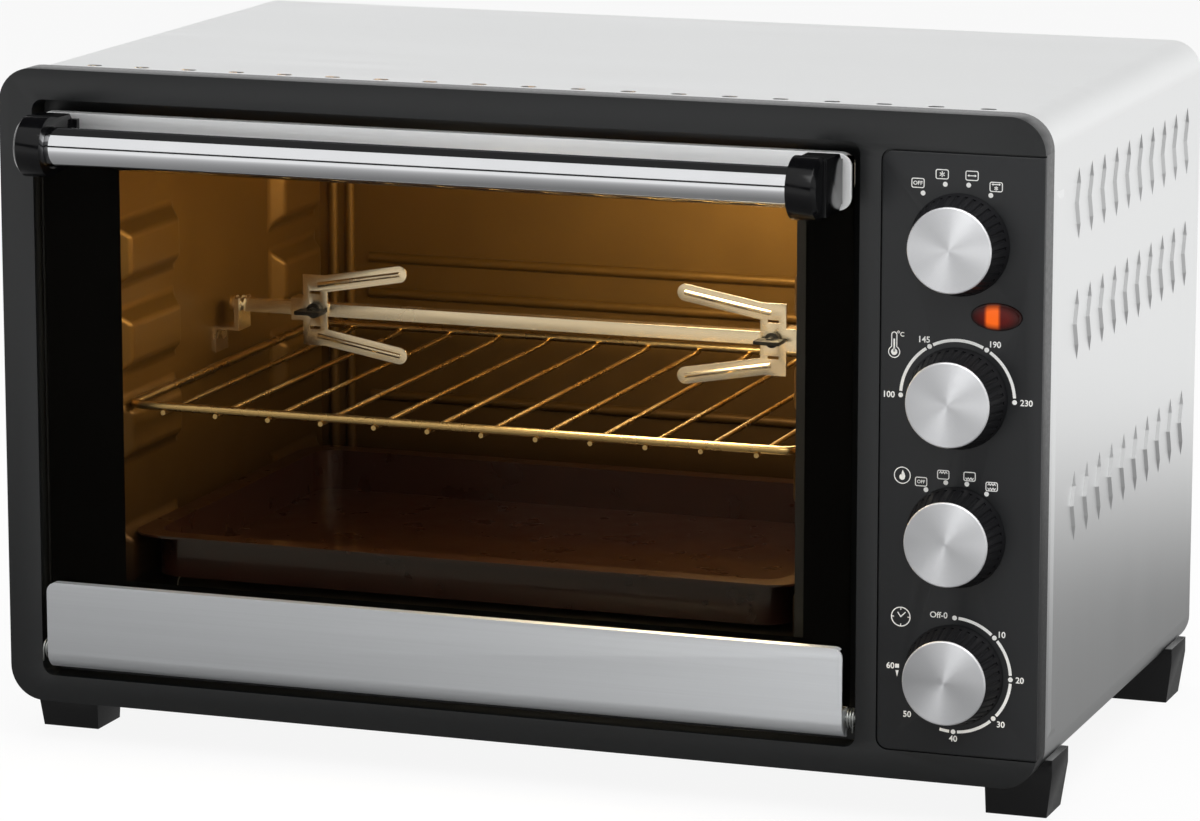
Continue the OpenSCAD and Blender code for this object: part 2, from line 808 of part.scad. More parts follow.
module base_plate() {
    color("#6e7072") place() difference() {
        block(-base_x, base_x, rim_depth, back_y - sheet_t - slide_gap, z_frame, base_top);
        foot_screw_holes();
    }
}

// Back panel with its vent slots and the hole of the cord bushing
module back_panel() {
    slot_l = 34;
    slot_w = 3;
    slot_pitch = 22;
    slot_n = 9;
    slot_rows = 3;
    slot_row_pitch = 46;
    slot_x = -slot_pitch * (slot_n - 1) / 2;
    slot_z = z_frame + cabinet_h / 2 - slot_row_pitch * (slot_rows - 1) / 2 + 20;
    color("#9a9c9d") place() difference() {
        front_sheet(back_y, cabinet_d) rounded_rect(-back_x, back_x, back_z, back_top, back_r);
        for (i = [0 : slot_n - 1], r = [0 : slot_rows - 1])
            block(slot_x + i * slot_pitch - slot_w / 2, slot_x + i * slot_pitch + slot_w / 2,
                back_y - 1, cabinet_d + 1,
                slot_z + r * slot_row_pitch - slot_l / 2, slot_z + r * slot_row_pitch + slot_l / 2);
        for (p = back_screw_places)
            bar_y(back_screw_d + 2 * seat_gap, back_y - 1, cabinet_d + 1, p[0], p[1]);
        bar_y(gland_neck_d + 2 * seat_gap, back_y - 1, cabinet_d + 1, gland_x, gland_z);
    }
}

// Bushing that the mains lead passes through
module cord_gland() {
    gland_bore_d = 8;
    inner_flange_t = 3;
    color("#151515") place() difference() {
        union() {
            bar_y(gland_d, cabinet_d, cabinet_d + 3, gland_x, gland_z);
            bar_y(gland_neck_d + 2, cabinet_d, cabinet_d + gland_reach, gland_x, gland_z);
            bar_y(gland_neck_d, back_y - inner_flange_t, cabinet_d + 1, gland_x, gland_z);
            bar_y(gland_d, back_y - inner_flange_t, back_y, gland_x, gland_z);
        }
        bar_y(gland_bore_d, back_y - inner_flange_t - 1, cabinet_d + gland_reach + 1, gland_x, gland_z);
    }
}

module back_screws() {
    color("silver") place() for (p = back_screw_places) {
        bar_y(back_screw_d * 2, cabinet_d, cabinet_d + screw_head_h, p[0], p[1]);
        bar_y(back_screw_d, back_y - sheet_t - 6, cabinet_d + 0.5, p[0], p[1]);
    }
}

// One foot on the right, with the sunk hole of its screw and a lip up the side of the wrap
module foot(y) {
    side_taper = foot_taper / 4;
    lip_top = foot_h + foot_lip;
    difference() {
        intersection() {
            front_sheet(y - foot_d, y + foot_d) difference() {
                polygon([
                    [foot_x - foot_w / 2 + side_taper, 0],
                    [foot_x + foot_w / 2 - side_taper, 0],
                    [half_w, foot_h],
                    [half_w, lip_top],
                    [foot_x - foot_w / 2, lip_top],
                    [foot_x - foot_w / 2, foot_h]
                ]);
                wrap_outline(-slide_gap);
            }
            translate([0, y, 0]) side_sheet(foot_x - foot_w, half_w + 1) polygon([
                [-foot_d / 2 + foot_taper, 0],
                [foot_d / 2 - foot_taper, 0],
                [foot_d / 2, foot_h],
                [foot_d / 2, lip_top],
                [-foot_d / 2, lip_top],
                [-foot_d / 2, foot_h]
            ]);
        }
        translate([foot_screw_x, y, -1]) cylinder(d = foot_head_d + 2, h = foot_sink + 1);
        translate([foot_screw_x, y, 0]) cylinder(d = foot_screw_d + 2 * seat_gap, h = foot_h + 1);
    }
}

module feet() {
    color("#1a1a1a") place() for (s = [0, 1], y = [foot_front_y, foot_rear_y]) mirror([s, 0, 0]) foot(y);
}

module foot_screws() {
    color("silver") place() for (p = foot_places) translate([p[0], p[1], 0]) {
        translate([0, 0, foot_sink - foot_head_h]) cylinder(d = foot_head_d, h = foot_head_h);
        translate([0, 0, foot_sink - 1]) cylinder(d = foot_screw_d, h = base_top - foot_sink + 5);
    }
}

// Bearing blocks behind the frame, in which the hinge pins turn
module hinge_blocks() {
    half_h = hinge_pin_d + 3;
    color("dimgray") place() difference() {
        for (x = [open_x0 - return_t - hinge_block_w, open_x1 + return_t])
            block(x, x + hinge_block_w, frame_t, frame_t + block_t, hinge_z - half_h, hinge_z + half_h);
        bar_x(hinge_bore_d, -half_w, half_w, hinge_y, hinge_z);
    }
}

// Cavity

// One embossed rack guide that stands out of a wall at x = 0 towards +x, with sloping edges all round
module guide(y0, y1, z1) {
    z0 = z1 - guide_h;
    intersection() {
        front_sheet(y0 - 1, y1 + 1) polygon([
            [-wall_t / 2, z0],
            [0, z0],
            [guide_out, z0 + guide_bevel],
            [guide_out, z1 - guide_bevel],
            [0, z1],
            [-wall_t / 2, z1]
        ]);
        translate([0, 0, z0 - 1]) linear_extrude(guide_h + 2) polygon([
            [-wall_t / 2, y0],
            [0, y0],
            [guide_out, y0 + guide_bevel],
            [guide_out, y1 - guide_bevel],
            [0, y1],
            [-wall_t / 2, y1]
        ]);
    }
}

// All rack guides of one wall
module guides() {
    for (top = guide_tops) {
        guide(guide_front_y, guide_front_y + guide_front_l, top);
        guide(guide_rear_y, guide_rear_y + guide_rear_l, top);
    }
}

// Side wall with its guides pressed out of the sheet, drawn at x = 0 and facing +x
module guide_wall() {
    difference() {
        union() {
            block(-wall_t, 0, cav_y0, cav_y1, cav_z0 - wall_t, cav_z1 + wall_t);
            guides();
        }
        translate([-guide_skin, 0, 0]) guides();
    }
}

// Holes of the heating elements in a side wall
module heater_holes(x) {
    for (y = heater_y, z = heater_z)
        bar_x(insulator_neck_d + 2 * seat_gap, x - 2 * wall_t, x + 2 * wall_t, y, z);
}

module cavity_left_wall() {
    color("#b08a48") place() difference() {
        translate([cav_x0, 0, 0]) guide_wall();
        heater_holes(cav_x0);
    }
}

module cavity_right_wall() {
    color("#b08a48") place() difference() {
        translate([cav_x1, 0, 0]) mirror([1, 0, 0]) guide_wall();
        heater_holes(cav_x1);
        bar_x(socket_d + 2 * slide_gap, cav_x1 - 1, cav_x1 + 2 * wall_t, spit_y, spit_z);
        bar_x(fan_d - 4, cav_x1 - 1, cav_x1 + 2 * wall_t, fan_y, fan_z);
        bar_x(lamp_dome_d, cav_x1 - 1, cav_x1 + 2 * wall_t, lamp_y, lamp_z);
    }
}

// Back wall with its pressed beads
module cavity_back() {
    beads_up = [82, 140, 160, 230];
    corner_beads = [8, 18];
    bead_end = 30;
    color("#b08a48") place() {
        block(cav_x0 - wall_t, cav_x1 + wall_t, cav_y1, cav_y1 + wall_t, cav_z0 - wall_t, cav_z1 + wall_t);
        intersection() {
            union() {
                for (up = beads_up)
                    bar_x(2 * bead_r, cav_x0 + bead_end, cav_x1 - bead_end, cav_y1 + wall_t / 2, cav_z0 + up);
                for (x = corner_beads, s = [-1, 1])
                    translate([door_x + s * (cavity_w / 2 - x), cav_y1 + wall_t / 2, cav_z0])
                        cylinder(r = bead_r, h = cavity_h);
            }
            block(cav_x0, cav_x1, cav_y1 - 2 * bead_r, cav_y1 + wall_t / 2, cav_z0, cav_z1);
        }
    }
}

module cavity_top() {
    color("#b08a48") place() block(cav_x0, cav_x1, cav_y0, cav_y1, cav_z1, cav_z1 + wall_t);
}

module cavity_floor() {
    color("#b08a48") place() block(cav_x0, cav_x1, cav_y0, cav_y1, cav_z0 - wall_t, cav_z0);
}

module heating_elements() {
    over = wall_t + insulator_l + 6;
    color("#55504a") place() for (y = heater_y, z = heater_z)
        bar_x(heater_d, cav_x0 - over, cav_x1 + over, y, z);
}

// Ceramic bushes that hold the heating elements in both side walls
module heater_insulators() {
    color("ivory") place() for (y = heater_y, z = heater_z) difference() {
        union() {
            bar_x(insulator_d, cav_x0 - wall_t - insulator_l, cav_x0 - wall_t, y, z);
            bar_x(insulator_neck_d, cav_x0 - wall_t - 1, cav_x0, y, z);
            bar_x(insulator_d, cav_x1 + wall_t, cav_x1 + wall_t + insulator_l, y, z);
            bar_x(insulator_neck_d, cav_x1, cav_x1 + wall_t + 1, y, z);
        }
        bar_x(heater_d + 2 * seat_gap, cav_x0 - wall_t - 2 * insulator_l,
            cav_x1 + wall_t + 2 * insulator_l, y, z);
    }
}

// Fan motor on a strap with two posts that stand on the cavity wall
module fan_motor() {
    strap_w = 12;
    color("dimgray") place() difference() {
        union() {
            bar_x(fan_motor_d, fan_motor_x0, fan_motor_x0 + fan_motor_l, fan_y, fan_z);
            block(strap_x0, fan_motor_x0, fan_y - fan_post_r - post_d / 2, fan_y + fan_post_r + post_d / 2,
                fan_z - strap_w / 2, fan_z + strap_w / 2);
            for (s = [-1, 1])
                bar_x(post_d, cav_x1 + wall_t, strap_x0 + strap_t / 2, fan_y + s * fan_post_r, fan_z);
        }
        bar_x(fan_shaft_d + 2 * run_gap, strap_x0 - 1, fan_motor_x0 + fan_motor_l - 4, fan_y, fan_z);
    }
}

// Perforated disc in front of the fan
module fan_guard() {
    hole_d = 6;
    hole_rings = 4;
    ring_step = (guard_d / 2 - hole_d - 4) / hole_rings;
    color("#b08a48") place() difference() {
        bar_x(guard_d, cav_x1 - guard_t, cav_x1, fan_y, fan_z);
        for (r = [1 : hole_rings], i = [0 : 6 * r - 1]) {
            a = 360 * i / (6 * r);
            bar_x(hole_d, cav_x1 - guard_t - 1, cav_x1 + 1,
                fan_y + r * ring_step * cos(a), fan_z + r * ring_step * sin(a));
        }
    }
}

// Gear motor that turns the spit, on four posts
module rotisserie_motor() {
    color("gray") place() difference() {
        union() {
            block(motor_x0, motor_x0 + motor_l, spit_y - motor_w / 2, spit_y + motor_w / 2,
                spit_z - motor_w / 2, spit_z + motor_w / 2);
            for (sy = [-1, 1], sz = [-1, 1])
                bar_x(post_d, cav_x1 + wall_t, motor_x0 + 1,
                    spit_y + sy * (motor_w - post_d) / 2, spit_z + sz * (motor_w - post_d) / 2);
        }
        bar_x(output_d + 2 * run_gap, motor_x0 - 1, motor_x0 + 16 + slide_gap, spit_y, spit_z);
    }
}

// Cradle on the left wall, open at the top, in which the spit's journal lies
module spit_support() {
    plate_t = 1.5;
    cradle_t = 2.6;
    half = 8;
    drop = 12;
    tall = 26;
    cradle_x0 = spit_x0 + head_w + (journal_l - cradle_t) / 2;
    notch_d = journal_d + 2 * run_gap;
    color("#c8a050") place() difference() {
        union() {
            block(cav_x0, cav_x0 + plate_t, spit_y - half, spit_y + half, spit_z - tall, spit_z - drop);
            block(cav_x0, cradle_x0 + cradle_t, spit_y - half, spit_y + half,
                spit_z - drop - plate_t, spit_z - drop);
            block(cradle_x0, cradle_x0 + cradle_t, spit_y - half, spit_y + half,
                spit_z - drop - plate_t, spit_z + 4);
        }
        bar_x(notch_d, cradle_x0 - 1, cradle_x0 + cradle_t + 1, spit_y, spit_z);
        block(cradle_x0 - 1, cradle_x0 + cradle_t + 1, spit_y - notch_d / 2, spit_y + notch_d / 2,
            spit_z, spit_z + 10);
    }
}

// Cup on the outside of the wall that holds the bulb
module lamp_holder() {
    cup_d = lamp_d + 4;
    cup_in = 14;
    color("ivory") place() difference() {
        bar_x(cup_d, cav_x1 + wall_t, cav_x1 + wall_t + holder_l, lamp_y, lamp_z);
        bar_x(lamp_dome_d - 2, cav_x1, cav_x1 + wall_t + cup_in, lamp_y, lamp_z);
        bar_x(bulb_neck_d + 2 * seat_gap, cav_x1, cav_x1 + wall_t + holder_l - 6, lamp_y, lamp_z);
    }
}

// Small oven bulb: a globe on a straight neck
module lamp_bulb() {
    color("lightyellow") place() {
        bar_x(bulb_neck_d, cav_x1, cav_x1 + wall_t + holder_l - 6, lamp_y, lamp_z);
        translate([cav_x1 - 1, lamp_y, lamp_z]) sphere(d = bulb_d);
    }
}

// Domed glass over the bulb, with a rim against the wall
module lamp_cover() {
    rim_l = 2;
    color("white") place() difference() {
        union() {
            bar_x(lamp_d, cav_x1 - rim_l, cav_x1, lamp_y, lamp_z);
            bar_x(lamp_dome_d, cav_x1 - lamp_dome_l, cav_x1, lamp_y, lamp_z);
        }
        bar_x(lamp_dome_d - 2 * lamp_glass_t, cav_x1 - lamp_dome_l + lamp_glass_t, cav_x1 + 1,
            lamp_y, lamp_z);
    }
}

// Door

module door_glass() {
    color("#30343680") place() difference() {
        front_sheet(0, glass_y1) rounded_rect(door_x0, door_x1, glass_z0, glass_z1, 3);
        for (x = [handle_screw_x0, handle_screw_x1])
            bar_y(handle_screw_d + 2 * hole_gap, -1, glass_y1 + 1, x, handle_z);
    }
}

// Channel over the top edge of the glass
module door_top_rail() {
    rear_h = top_rail_h - 7;
    color("whitesmoke") place() difference() {
        union() {
            front_sheet(-top_rail_reach, -seat_gap)
                rounded_rect(door_x0, door_x1, door_z1 - top_rail_h, door_z1, rail_r);
            front_sheet(-top_rail_reach, glass_rear + rail_t) intersection() {
                rounded_rect(door_x0, door_x1, door_z1 - top_rail_h, door_z1, rail_r);
                translate([door_x0, door_z1 - rail_t]) square([door_x1 - door_x0, rail_t]);
            }
            front_sheet(glass_rear, glass_rear + rail_t)
                rounded_rect(door_x0, door_x1, door_z1 - rear_h, door_z1, rail_r);
        }
        for (x = [handle_screw_x0, handle_screw_x1])
            bar_y(handle_screw_d + 2 * seat_gap, -2 * top_rail_reach, glass_rear + 2 * rail_t, x, handle_z);
    }
}

// Channel round the bottom edge of the glass, rolled round the hinge axis at its front corner
module door_bottom_rail() {
    rear_y = glass_rear + rail_t;
    front_y = -bottom_rail_reach;
    color("silver") place() difference() {
        intersection() {
            union() {
                side_sheet(rail_x0, rail_x1) difference() {
                    bottom_rail_outline(0);
                    bottom_rail_outline(rail_t);
                    translate([-seat_gap, glass_z0 - seat_gap]) square([glass_rear + seat_gap, bottom_rail_h]);
                }
                for (x = [rail_x0, rail_x1 - rail_end]) side_sheet(x, x + rail_end) difference() {
                    bottom_rail_outline(0);
                    translate([-bottom_rail_reach, glass_z0 - seat_gap])
                        square([bottom_rail_reach + rear_y, bottom_rail_h]);
                }
            }
            front_sheet(front_y - 1, rear_y + 1)
                rounded_rect(rail_x0, rail_x1, door_z0 - 2 * bottom_rail_r, bottom_rail_top, bottom_rail_r);
        }
        for (x = [rail_x0 - 1, rail_x1 - hinge_pin_in])
            bar_x(hinge_bore_d, x, x + hinge_pin_in + 1, hinge_y, hinge_z);
    }
}

// Section of the bottom rail in y and z, drawn in by inset
module bottom_rail_outline(inset) {
    y0 = -bottom_rail_reach + inset;
    y1 = glass_rear + rail_t - inset;
    z0 = door_z0 + inset;
    z1 = bottom_rail_top - inset;
    intersection() {
        union() {
            translate([hinge_y, hinge_z]) circle(r = hinge_r - inset);
            translate([y0, hinge_z]) square([y1 - y0, z1 - hinge_z]);
            translate([hinge_y, z0]) square([max(y1 - hinge_y, 0.01), z1 - z0]);
        }
        translate([y0, z0]) square([y1 - y0, z1 - z0]);
    }
}

module handle_tube() {
    x0 = bracket_x0 + bracket_w - tube_in;
    x1 = bracket_x1 - bracket_w + tube_in;
    color("gainsboro") place() difference() {
        bar_x(handle_d, x0, x1, -handle_out, handle_z);
        bar_x(handle_d - 2 * handle_wall, x0 - 1, x1 + 1, -handle_out, handle_z);
    }
}

// Handle bracket with its outer face at x = 0 and its tube socket towards +x
module handle_bracket() {
    back = -top_rail_reach;
    neck_half = bracket_half - 1.5;
    neck_cut = 5;
    barrel_x = 1;
    difference() {
        union() {
            bar_x(bracket_h, barrel_x + bracket_edge, bracket_w, -handle_out, handle_z);
            translate([barrel_x, -handle_out, handle_z]) rotate([0, 90, 0])
                cylinder(d1 = bracket_h - 2 * bracket_edge, d2 = bracket_h, h = bracket_edge);
            side_sheet(0, bracket_w) polygon([
                [back, handle_z - neck_half + neck_cut],
                [back, handle_z + neck_half - neck_cut],
                [back - neck_cut, handle_z + neck_half],
                [-handle_out, handle_z + neck_half],
                [-handle_out, handle_z - neck_half],
                [back - neck_cut, handle_z - neck_half]
            ]);
            block(0, bracket_foot_w, back - bracket_foot_t, back,
                handle_z - bracket_foot_h / 2, handle_z + bracket_foot_h / 2);
        }
        bar_x(handle_d + 2 * seat_gap, bracket_w - tube_in - seat_gap, bracket_foot_w + 1,
            -handle_out, handle_z);
        bar_y(handle_screw_d + 2 * seat_gap, back - handle_screw_in - 1, back + 1, bracket_w / 2, handle_z);
    }
}

module handle_bracket_left() {
    color("#0c0c0d") place() translate([bracket_x0, 0, 0]) handle_bracket();
}

module handle_bracket_right() {
    color("#0c0c0d") place() translate([bracket_x1, 0, 0]) mirror([1, 0, 0]) handle_bracket();
}

// Screws from inside the door through its rail and glass into the brackets
module handle_screws() {
    head_y = glass_rear + rail_t;
    color("silver") place() for (x = [handle_screw_x0, handle_screw_x1]) {
        bar_y(handle_screw_d * 2, head_y, head_y + screw_head_h, x, handle_z);
        bar_y(handle_screw_d, -top_rail_reach - handle_screw_in, head_y + 0.5, x, handle_z);
    }
}

module hinge_pins() {
    pin_out = hinge_block_w - 1;
    color("silver") place() {
        bar_x(hinge_pin_d, open_x0 - return_t - pin_out, rail_x0 + hinge_pin_in - seat_gap, hinge_y, hinge_z);
        bar_x(hinge_pin_d, rail_x1 - hinge_pin_in + seat_gap, open_x1 + return_t + pin_out, hinge_y, hinge_z);
    }
}

// Hinge springs: one unbroken wire of straight leg, curls and straight leg
spring_rings = 8;
spring_sides = 6;
spring_r = spring_coil_d / 2;
spring_start = (spring_room - spring_rise) / 2;
spring_turn_n = ceil(spring_curls * spring_rings);
function curl_point(a) = [
    spring_start + spring_rise * a / (360 * spring_curls),
    spring_r * cos(a),
    spring_r * sin(a)
];
spring_curl_points = [for (i = [0 : spring_turn_n]) curl_point(360 * spring_curls * i / spring_turn_n)];
spring_last_a = 360 * spring_curls;
spring_path = concat(
    [curl_point(0) + [0, 0, -spring_leg]],
    spring_curl_points,
    [curl_point(spring_last_a) + spring_leg * [0, -sin(spring_last_a), cos(spring_last_a)]]
);

// Least gap between points of the wire that lie a curl or so apart
function wire_gap(points, skip) = min([
    for (i = [0 : len(points) - 1], j = [i + skip : 1 : len(points) - 1]) norm(points[i] - points[j])
]) - spring_wire_d;
echo(hinge_spring_gap = wire_gap(spring_path, spring_rings - 1));

// Direction of the wire at point i
function wire_way(p, i) = let (
    d = p[min(i + 1, len(p) - 1)] - p[max(i - 1, 0)]
) d / norm(d);

// Ring of the wire at point i, square to the wire
function wire_ring(p, i) = let (
    way = wire_way(p, i),
    flat = cross(way, [1, 0, 0]),
    side = flat / norm(flat),
    up = cross(way, side)
) [for (k = [0 : spring_sides - 1]) p[i] + spring_wire_d / 2 * (cos(60 * k) * side + sin(60 * k) * up)];

// One hinge spring along x from the end of the rail
module hinge_spring() {
    n = len(spring_path);
    points = [for (i = [0 : n - 1]) each wire_ring(spring_path, i)];
    last = (n - 1) * spring_sides;
    walls = [
        for (i = [0 : n - 2], k = [0 : spring_sides - 1]) let (
            a = i * spring_sides + k,
            b = i * spring_sides + (k + 1) % spring_sides
        ) each [[a, b, a + spring_sides], [b, b + spring_sides, a + spring_sides]]
    ];
    ends = [for (k = [1 : spring_sides - 2]) each [[0, k + 1, k], [last, last + k, last + k + 1]]];
    polyhedron(points = points, faces = concat(walls, ends));
}

module hinge_springs() {
    color("silver") place() {
        translate([rail_x1, hinge_y, hinge_z]) hinge_spring();
        translate([rail_x0, hinge_y, hinge_z]) mirror([1, 0, 0]) hinge_spring();
    }
}

// Knobs

// Fluted skirt of a knob, hollow behind, with the hub of its shaft
module knob(z) {
    body_h = knob_h - cap_t;
    flute_d = 2;
    color("#1b1b1e") place() translate([knob_x, -knob_base, z]) rotate([90, 0, 0]) difference() {
        cylinder(d1 = knob_d, d2 = knob_cap_d, h = body_h);
        difference() {
            translate([0, 0, -1]) cylinder(d = knob_cap_d - 2 * knob_wall, h = body_h - knob_wall + 1);
            translate([0, 0, -2]) cylinder(d = knob_hub_d, h = body_h + 2);
        }
        translate([0, 0, -1]) cylinder(d = knob_hub_d + 1, h = 1 + bush_out);
        translate([0, 0, -1]) cylinder(d = shaft_bore_d, h = body_h - knob_wall + 1);
        for (i = [0 : flutes - 1]) rotate(360 * i / flutes)
            translate([knob_d / 2 + 0.3, 0, 0])
                rotate([0, -atan((knob_d - knob_cap_d) / 2 / body_h), 0])
                    translate([0, 0, 3]) cylinder(d = flute_d, h = 2 * body_h);
    }
}

// Spun aluminium disc on the front of a knob
module knob_cap(z) {
    chamfer = 0.5;
    y0 = -knob_base - knob_h + cap_t;
    color("lightgray") place() translate([knob_x, y0, z]) rotate([90, 0, 0]) {
        cylinder(d = knob_cap_d, h = cap_t - chamfer);
        translate([0, 0, cap_t - chamfer])
            cylinder(d1 = knob_cap_d, d2 = knob_cap_d - 2 * chamfer, h = chamfer);
    }
}

// Shaft of a control, from inside its body to inside its knob
module control_shaft(z) {
    color("silver") place() bar_y(shaft_d, -shaft_out + seat_gap, frame_t + shaft_in, knob_x, z);
}

module fan_knob() {
    knob(fan_knob_z);
}

module fan_knob_cap() {
    knob_cap(fan_knob_z);
}

module fan_switch_shaft() {
    control_shaft(fan_knob_z);
}

module temperature_knob() {
    knob(temperature_z);
}

module temperature_knob_cap() {
    knob_cap(temperature_z);
}

module thermostat_shaft() {
    control_shaft(temperature_z);
}

module function_knob() {
    knob(function_z);
}

module function_knob_cap() {
    knob_cap(function_z);
}

module function_switch_shaft() {
    control_shaft(function_z);
}

module timer_knob() {
    knob(timer_z);
}

module timer_knob_cap() {
    knob_cap(timer_z);
}

module timer_shaft() {
    control_shaft(timer_z);
}

// Rotisserie

// Square bar with a turned journal and head at its left end
module spit() {
    head_d = journal_d + 3;
    color("#d8c07a") place() {
        bar_x(head_d, spit_x0, spit_x0 + head_w, spit_y, spit_z);
        bar_x(journal_d, spit_x0 + head_w - 0.5, bar_x0 + 1, spit_y, spit_z);
        block(bar_x0, cav_x1 - seat_gap, spit_y - spit_w / 2, spit_y + spit_w / 2,
            spit_z - spit_w / 2, spit_z + spit_w / 2);
    }
}

// Fork on the spit's axis, with its web at x = 0 and its prongs towards +x
module fork() {
    collar_l = 7;
    collar = spit_w + 5;
    hole = spit_w + 2 * fork_gap;
    rib_d = 3;
    lance_l = 6;
    lance_w = 1.6;
    y0 = fork_y - fork_t;
    prong_z = (fork_h - prong_w) / 2;
    difference() {
        union() {
            block(0, fork_web_w, y0, fork_y, -fork_h / 2, fork_h / 2);
            for (s = [-1, 1]) translate([fork_web_w - 1, 0, s * prong_z]) rotate([0, -s * prong_splay, 0]) {
                block(-1, prong_l - prong_w / 2, y0, fork_y, -prong_w / 2, prong_w / 2);
                bar_y(prong_w, y0, fork_y, prong_l - prong_w / 2, 0);
                bar_x(rib_d, -fork_web_w / 3, prong_l - 4, y0 + rib_d / 4, 0);
            }
            block(-collar_l, 1, y0, collar / 2, -collar / 2, collar / 2);
        }
        block(-collar_l - 1, 2, -hole / 2, hole / 2, -hole / 2, hole / 2);
        bar_y(thumb_d + 2 * seat_gap, y0 - 1, 0, fork_web_w / 2, 0);
        for (s = [-1, 1]) block((fork_web_w - lance_l) / 2, (fork_web_w + lance_l) / 2, y0 - 1, fork_y + 1,
            s * fork_h / 4 - lance_w / 2, s * fork_h / 4 + lance_w / 2);
    }
}

module spit_fork_left() {
    color("#d8c07a") place() translate([fork_left_x, spit_y, spit_z]) fork();
}

module spit_fork_right() {
    color("#d8c07a") place() translate([fork_right_x, spit_y, spit_z]) mirror([1, 0, 0]) fork();
}

// Thumb screws that press on the spit through the webs of the forks
module thumb_screws() {
    wing_w = 14;
    wing_h = 9;
    wing_t = 2;
    reach = 13;
    color("#2a2018") place() for (x = [fork_left_x + fork_web_w / 2, fork_right_x - fork_web_w / 2])
        translate([x, spit_y, spit_z]) {
            bar_y(thumb_d, -reach, -spit_w / 2 - seat_gap / 2, 0, 0);
            bar_y(thumb_d * 2, fork_y - fork_t - 3, fork_y - fork_t, 0, 0);
            block(-wing_w / 2, wing_w / 2, -reach - wing_h / 2, fork_y - fork_t - 2, -wing_t / 2, wing_t / 2);
        }
}

// Socket in the right wall that turns the spit, with its motor shaft
module drive_socket() {
    hole = spit_w + 2 * slide_gap;
    color("gray") place() difference() {
        union() {
            bar_x(socket_d, socket_x0, socket_x1, spit_y, spit_z);
            bar_x(output_d, socket_x1 - 1, motor_x0 + 16, spit_y, spit_z);
        }
        block(socket_x0 - 1, cav_x1, spit_y - hole / 2, spit_y + hole / 2,
            spit_z - hole / 2, spit_z + hole / 2);
    }
}

// Fan

module fan_blade() {
    hub_d = fan_shaft_d + 8;
    disc_d = fan_d - 16;
    disc_t = 1.6;
    blade_t = 1.2;
    blade_lean = 28;
    blade_x0 = 0.5;
    blade_x1 = fan_w - disc_t / 2;
    color("silver") place() translate([fan_x0, fan_y, fan_z]) difference() {
        union() {
            bar_x(hub_d, 0, fan_w, 0, 0);
            bar_x(disc_d, fan_w - disc_t, fan_w, 0, 0);
            for (i = [0 : fan_blades - 1]) rotate([360 * i / fan_blades, 0, 0])
                translate([0, 0, hub_d / 2 - 1.5]) linear_extrude(fan_d / 2 - hub_d / 2 + 1.5) polygon([
                    [blade_x0, -blade_x0 * tan(blade_lean)],
                    [blade_x1, -blade_x1 * tan(blade_lean)],
                    [blade_x1, blade_t - blade_x1 * tan(blade_lean)],
                    [blade_x0, blade_t - blade_x0 * tan(blade_lean)]
                ]);
        }
        bar_x(fan_shaft_d + 2 * run_gap, 1, fan_w + 1, 0, 0);
    }
}

module fan_shaft() {
    color("silver") place()
        bar_x(fan_shaft_d, fan_x0 + 1 + seat_gap, fan_motor_x0 + fan_motor_l - 4 - slide_gap, fan_y, fan_z);
}

// Shelves

// Quarter bend of the rack's frame wire
module rack_corner(x, y, a) {
    translate([x, y, rack_z]) rotate([0, 0, a]) rotate_extrude(angle = 90)
        translate([rack_r, 0]) circle(d = rack_wire_d);
}

module wire_rack() {
    half = rack_wire_d / 2;
    x0 = shelf_x0 + half;
    x1 = shelf_x1 - half;
    y0 = shelf_front + half;
    y1 = rack_y1 - half;
    end_gap = 2 / 3;
    step = (x1 - x0) / (rack_cross_n - 1 + 2 * end_gap);
    color("#d8c07a") place() {
        for (y = [y0, y1]) bar_x(rack_wire_d, x0 + rack_r, x1 - rack_r, y, rack_z);
        for (x = [x0, x1]) bar_y(rack_wire_d, y0 + rack_r, y1 - rack_r, x, rack_z);
        rack_corner(x1 - rack_r, y1 - rack_r, 0);
        rack_corner(x0 + rack_r, y1 - rack_r, 90);
        rack_corner(x0 + rack_r, y0 + rack_r, 180);
        rack_corner(x1 - rack_r, y0 + rack_r, 270);
        for (i = [0 : rack_cross_n - 1])
            bar_y(rack_cross_d, shelf_front, rack_y1, x0 + (i + end_gap) * step, cross_z);
    }
}

// Enamelled pan hanging from its flat rim
module baking_tray() {
    pan_x0 = shelf_x0 + tray_rim_w;
    pan_x1 = shelf_x1 - tray_rim_w;
    pan_y0 = shelf_front + tray_rim_w;
    pan_y1 = tray_y1 - tray_rim_w;
    pan_r = 14;
    rim_r = 18;
    color("#1c0d06") place() difference() {
        union() {
            translate([0, 0, tray_z]) linear_extrude(tray_t)
                rounded_rect(shelf_x0, shelf_x1, shelf_front, tray_y1, rim_r);
            translate([0, 0, tray_z - tray_h]) linear_extrude(tray_h + tray_t / 2)
                rounded_rect(pan_x0, pan_x1, pan_y0, pan_y1, pan_r);
        }
        translate([0, 0, tray_z - tray_h + tray_t]) linear_extrude(tray_h + tray_t)
            rounded_rect(pan_x0 + tray_t, pan_x1 - tray_t, pan_y0 + tray_t, pan_y1 - tray_t, pan_r - tray_t);
    }
}

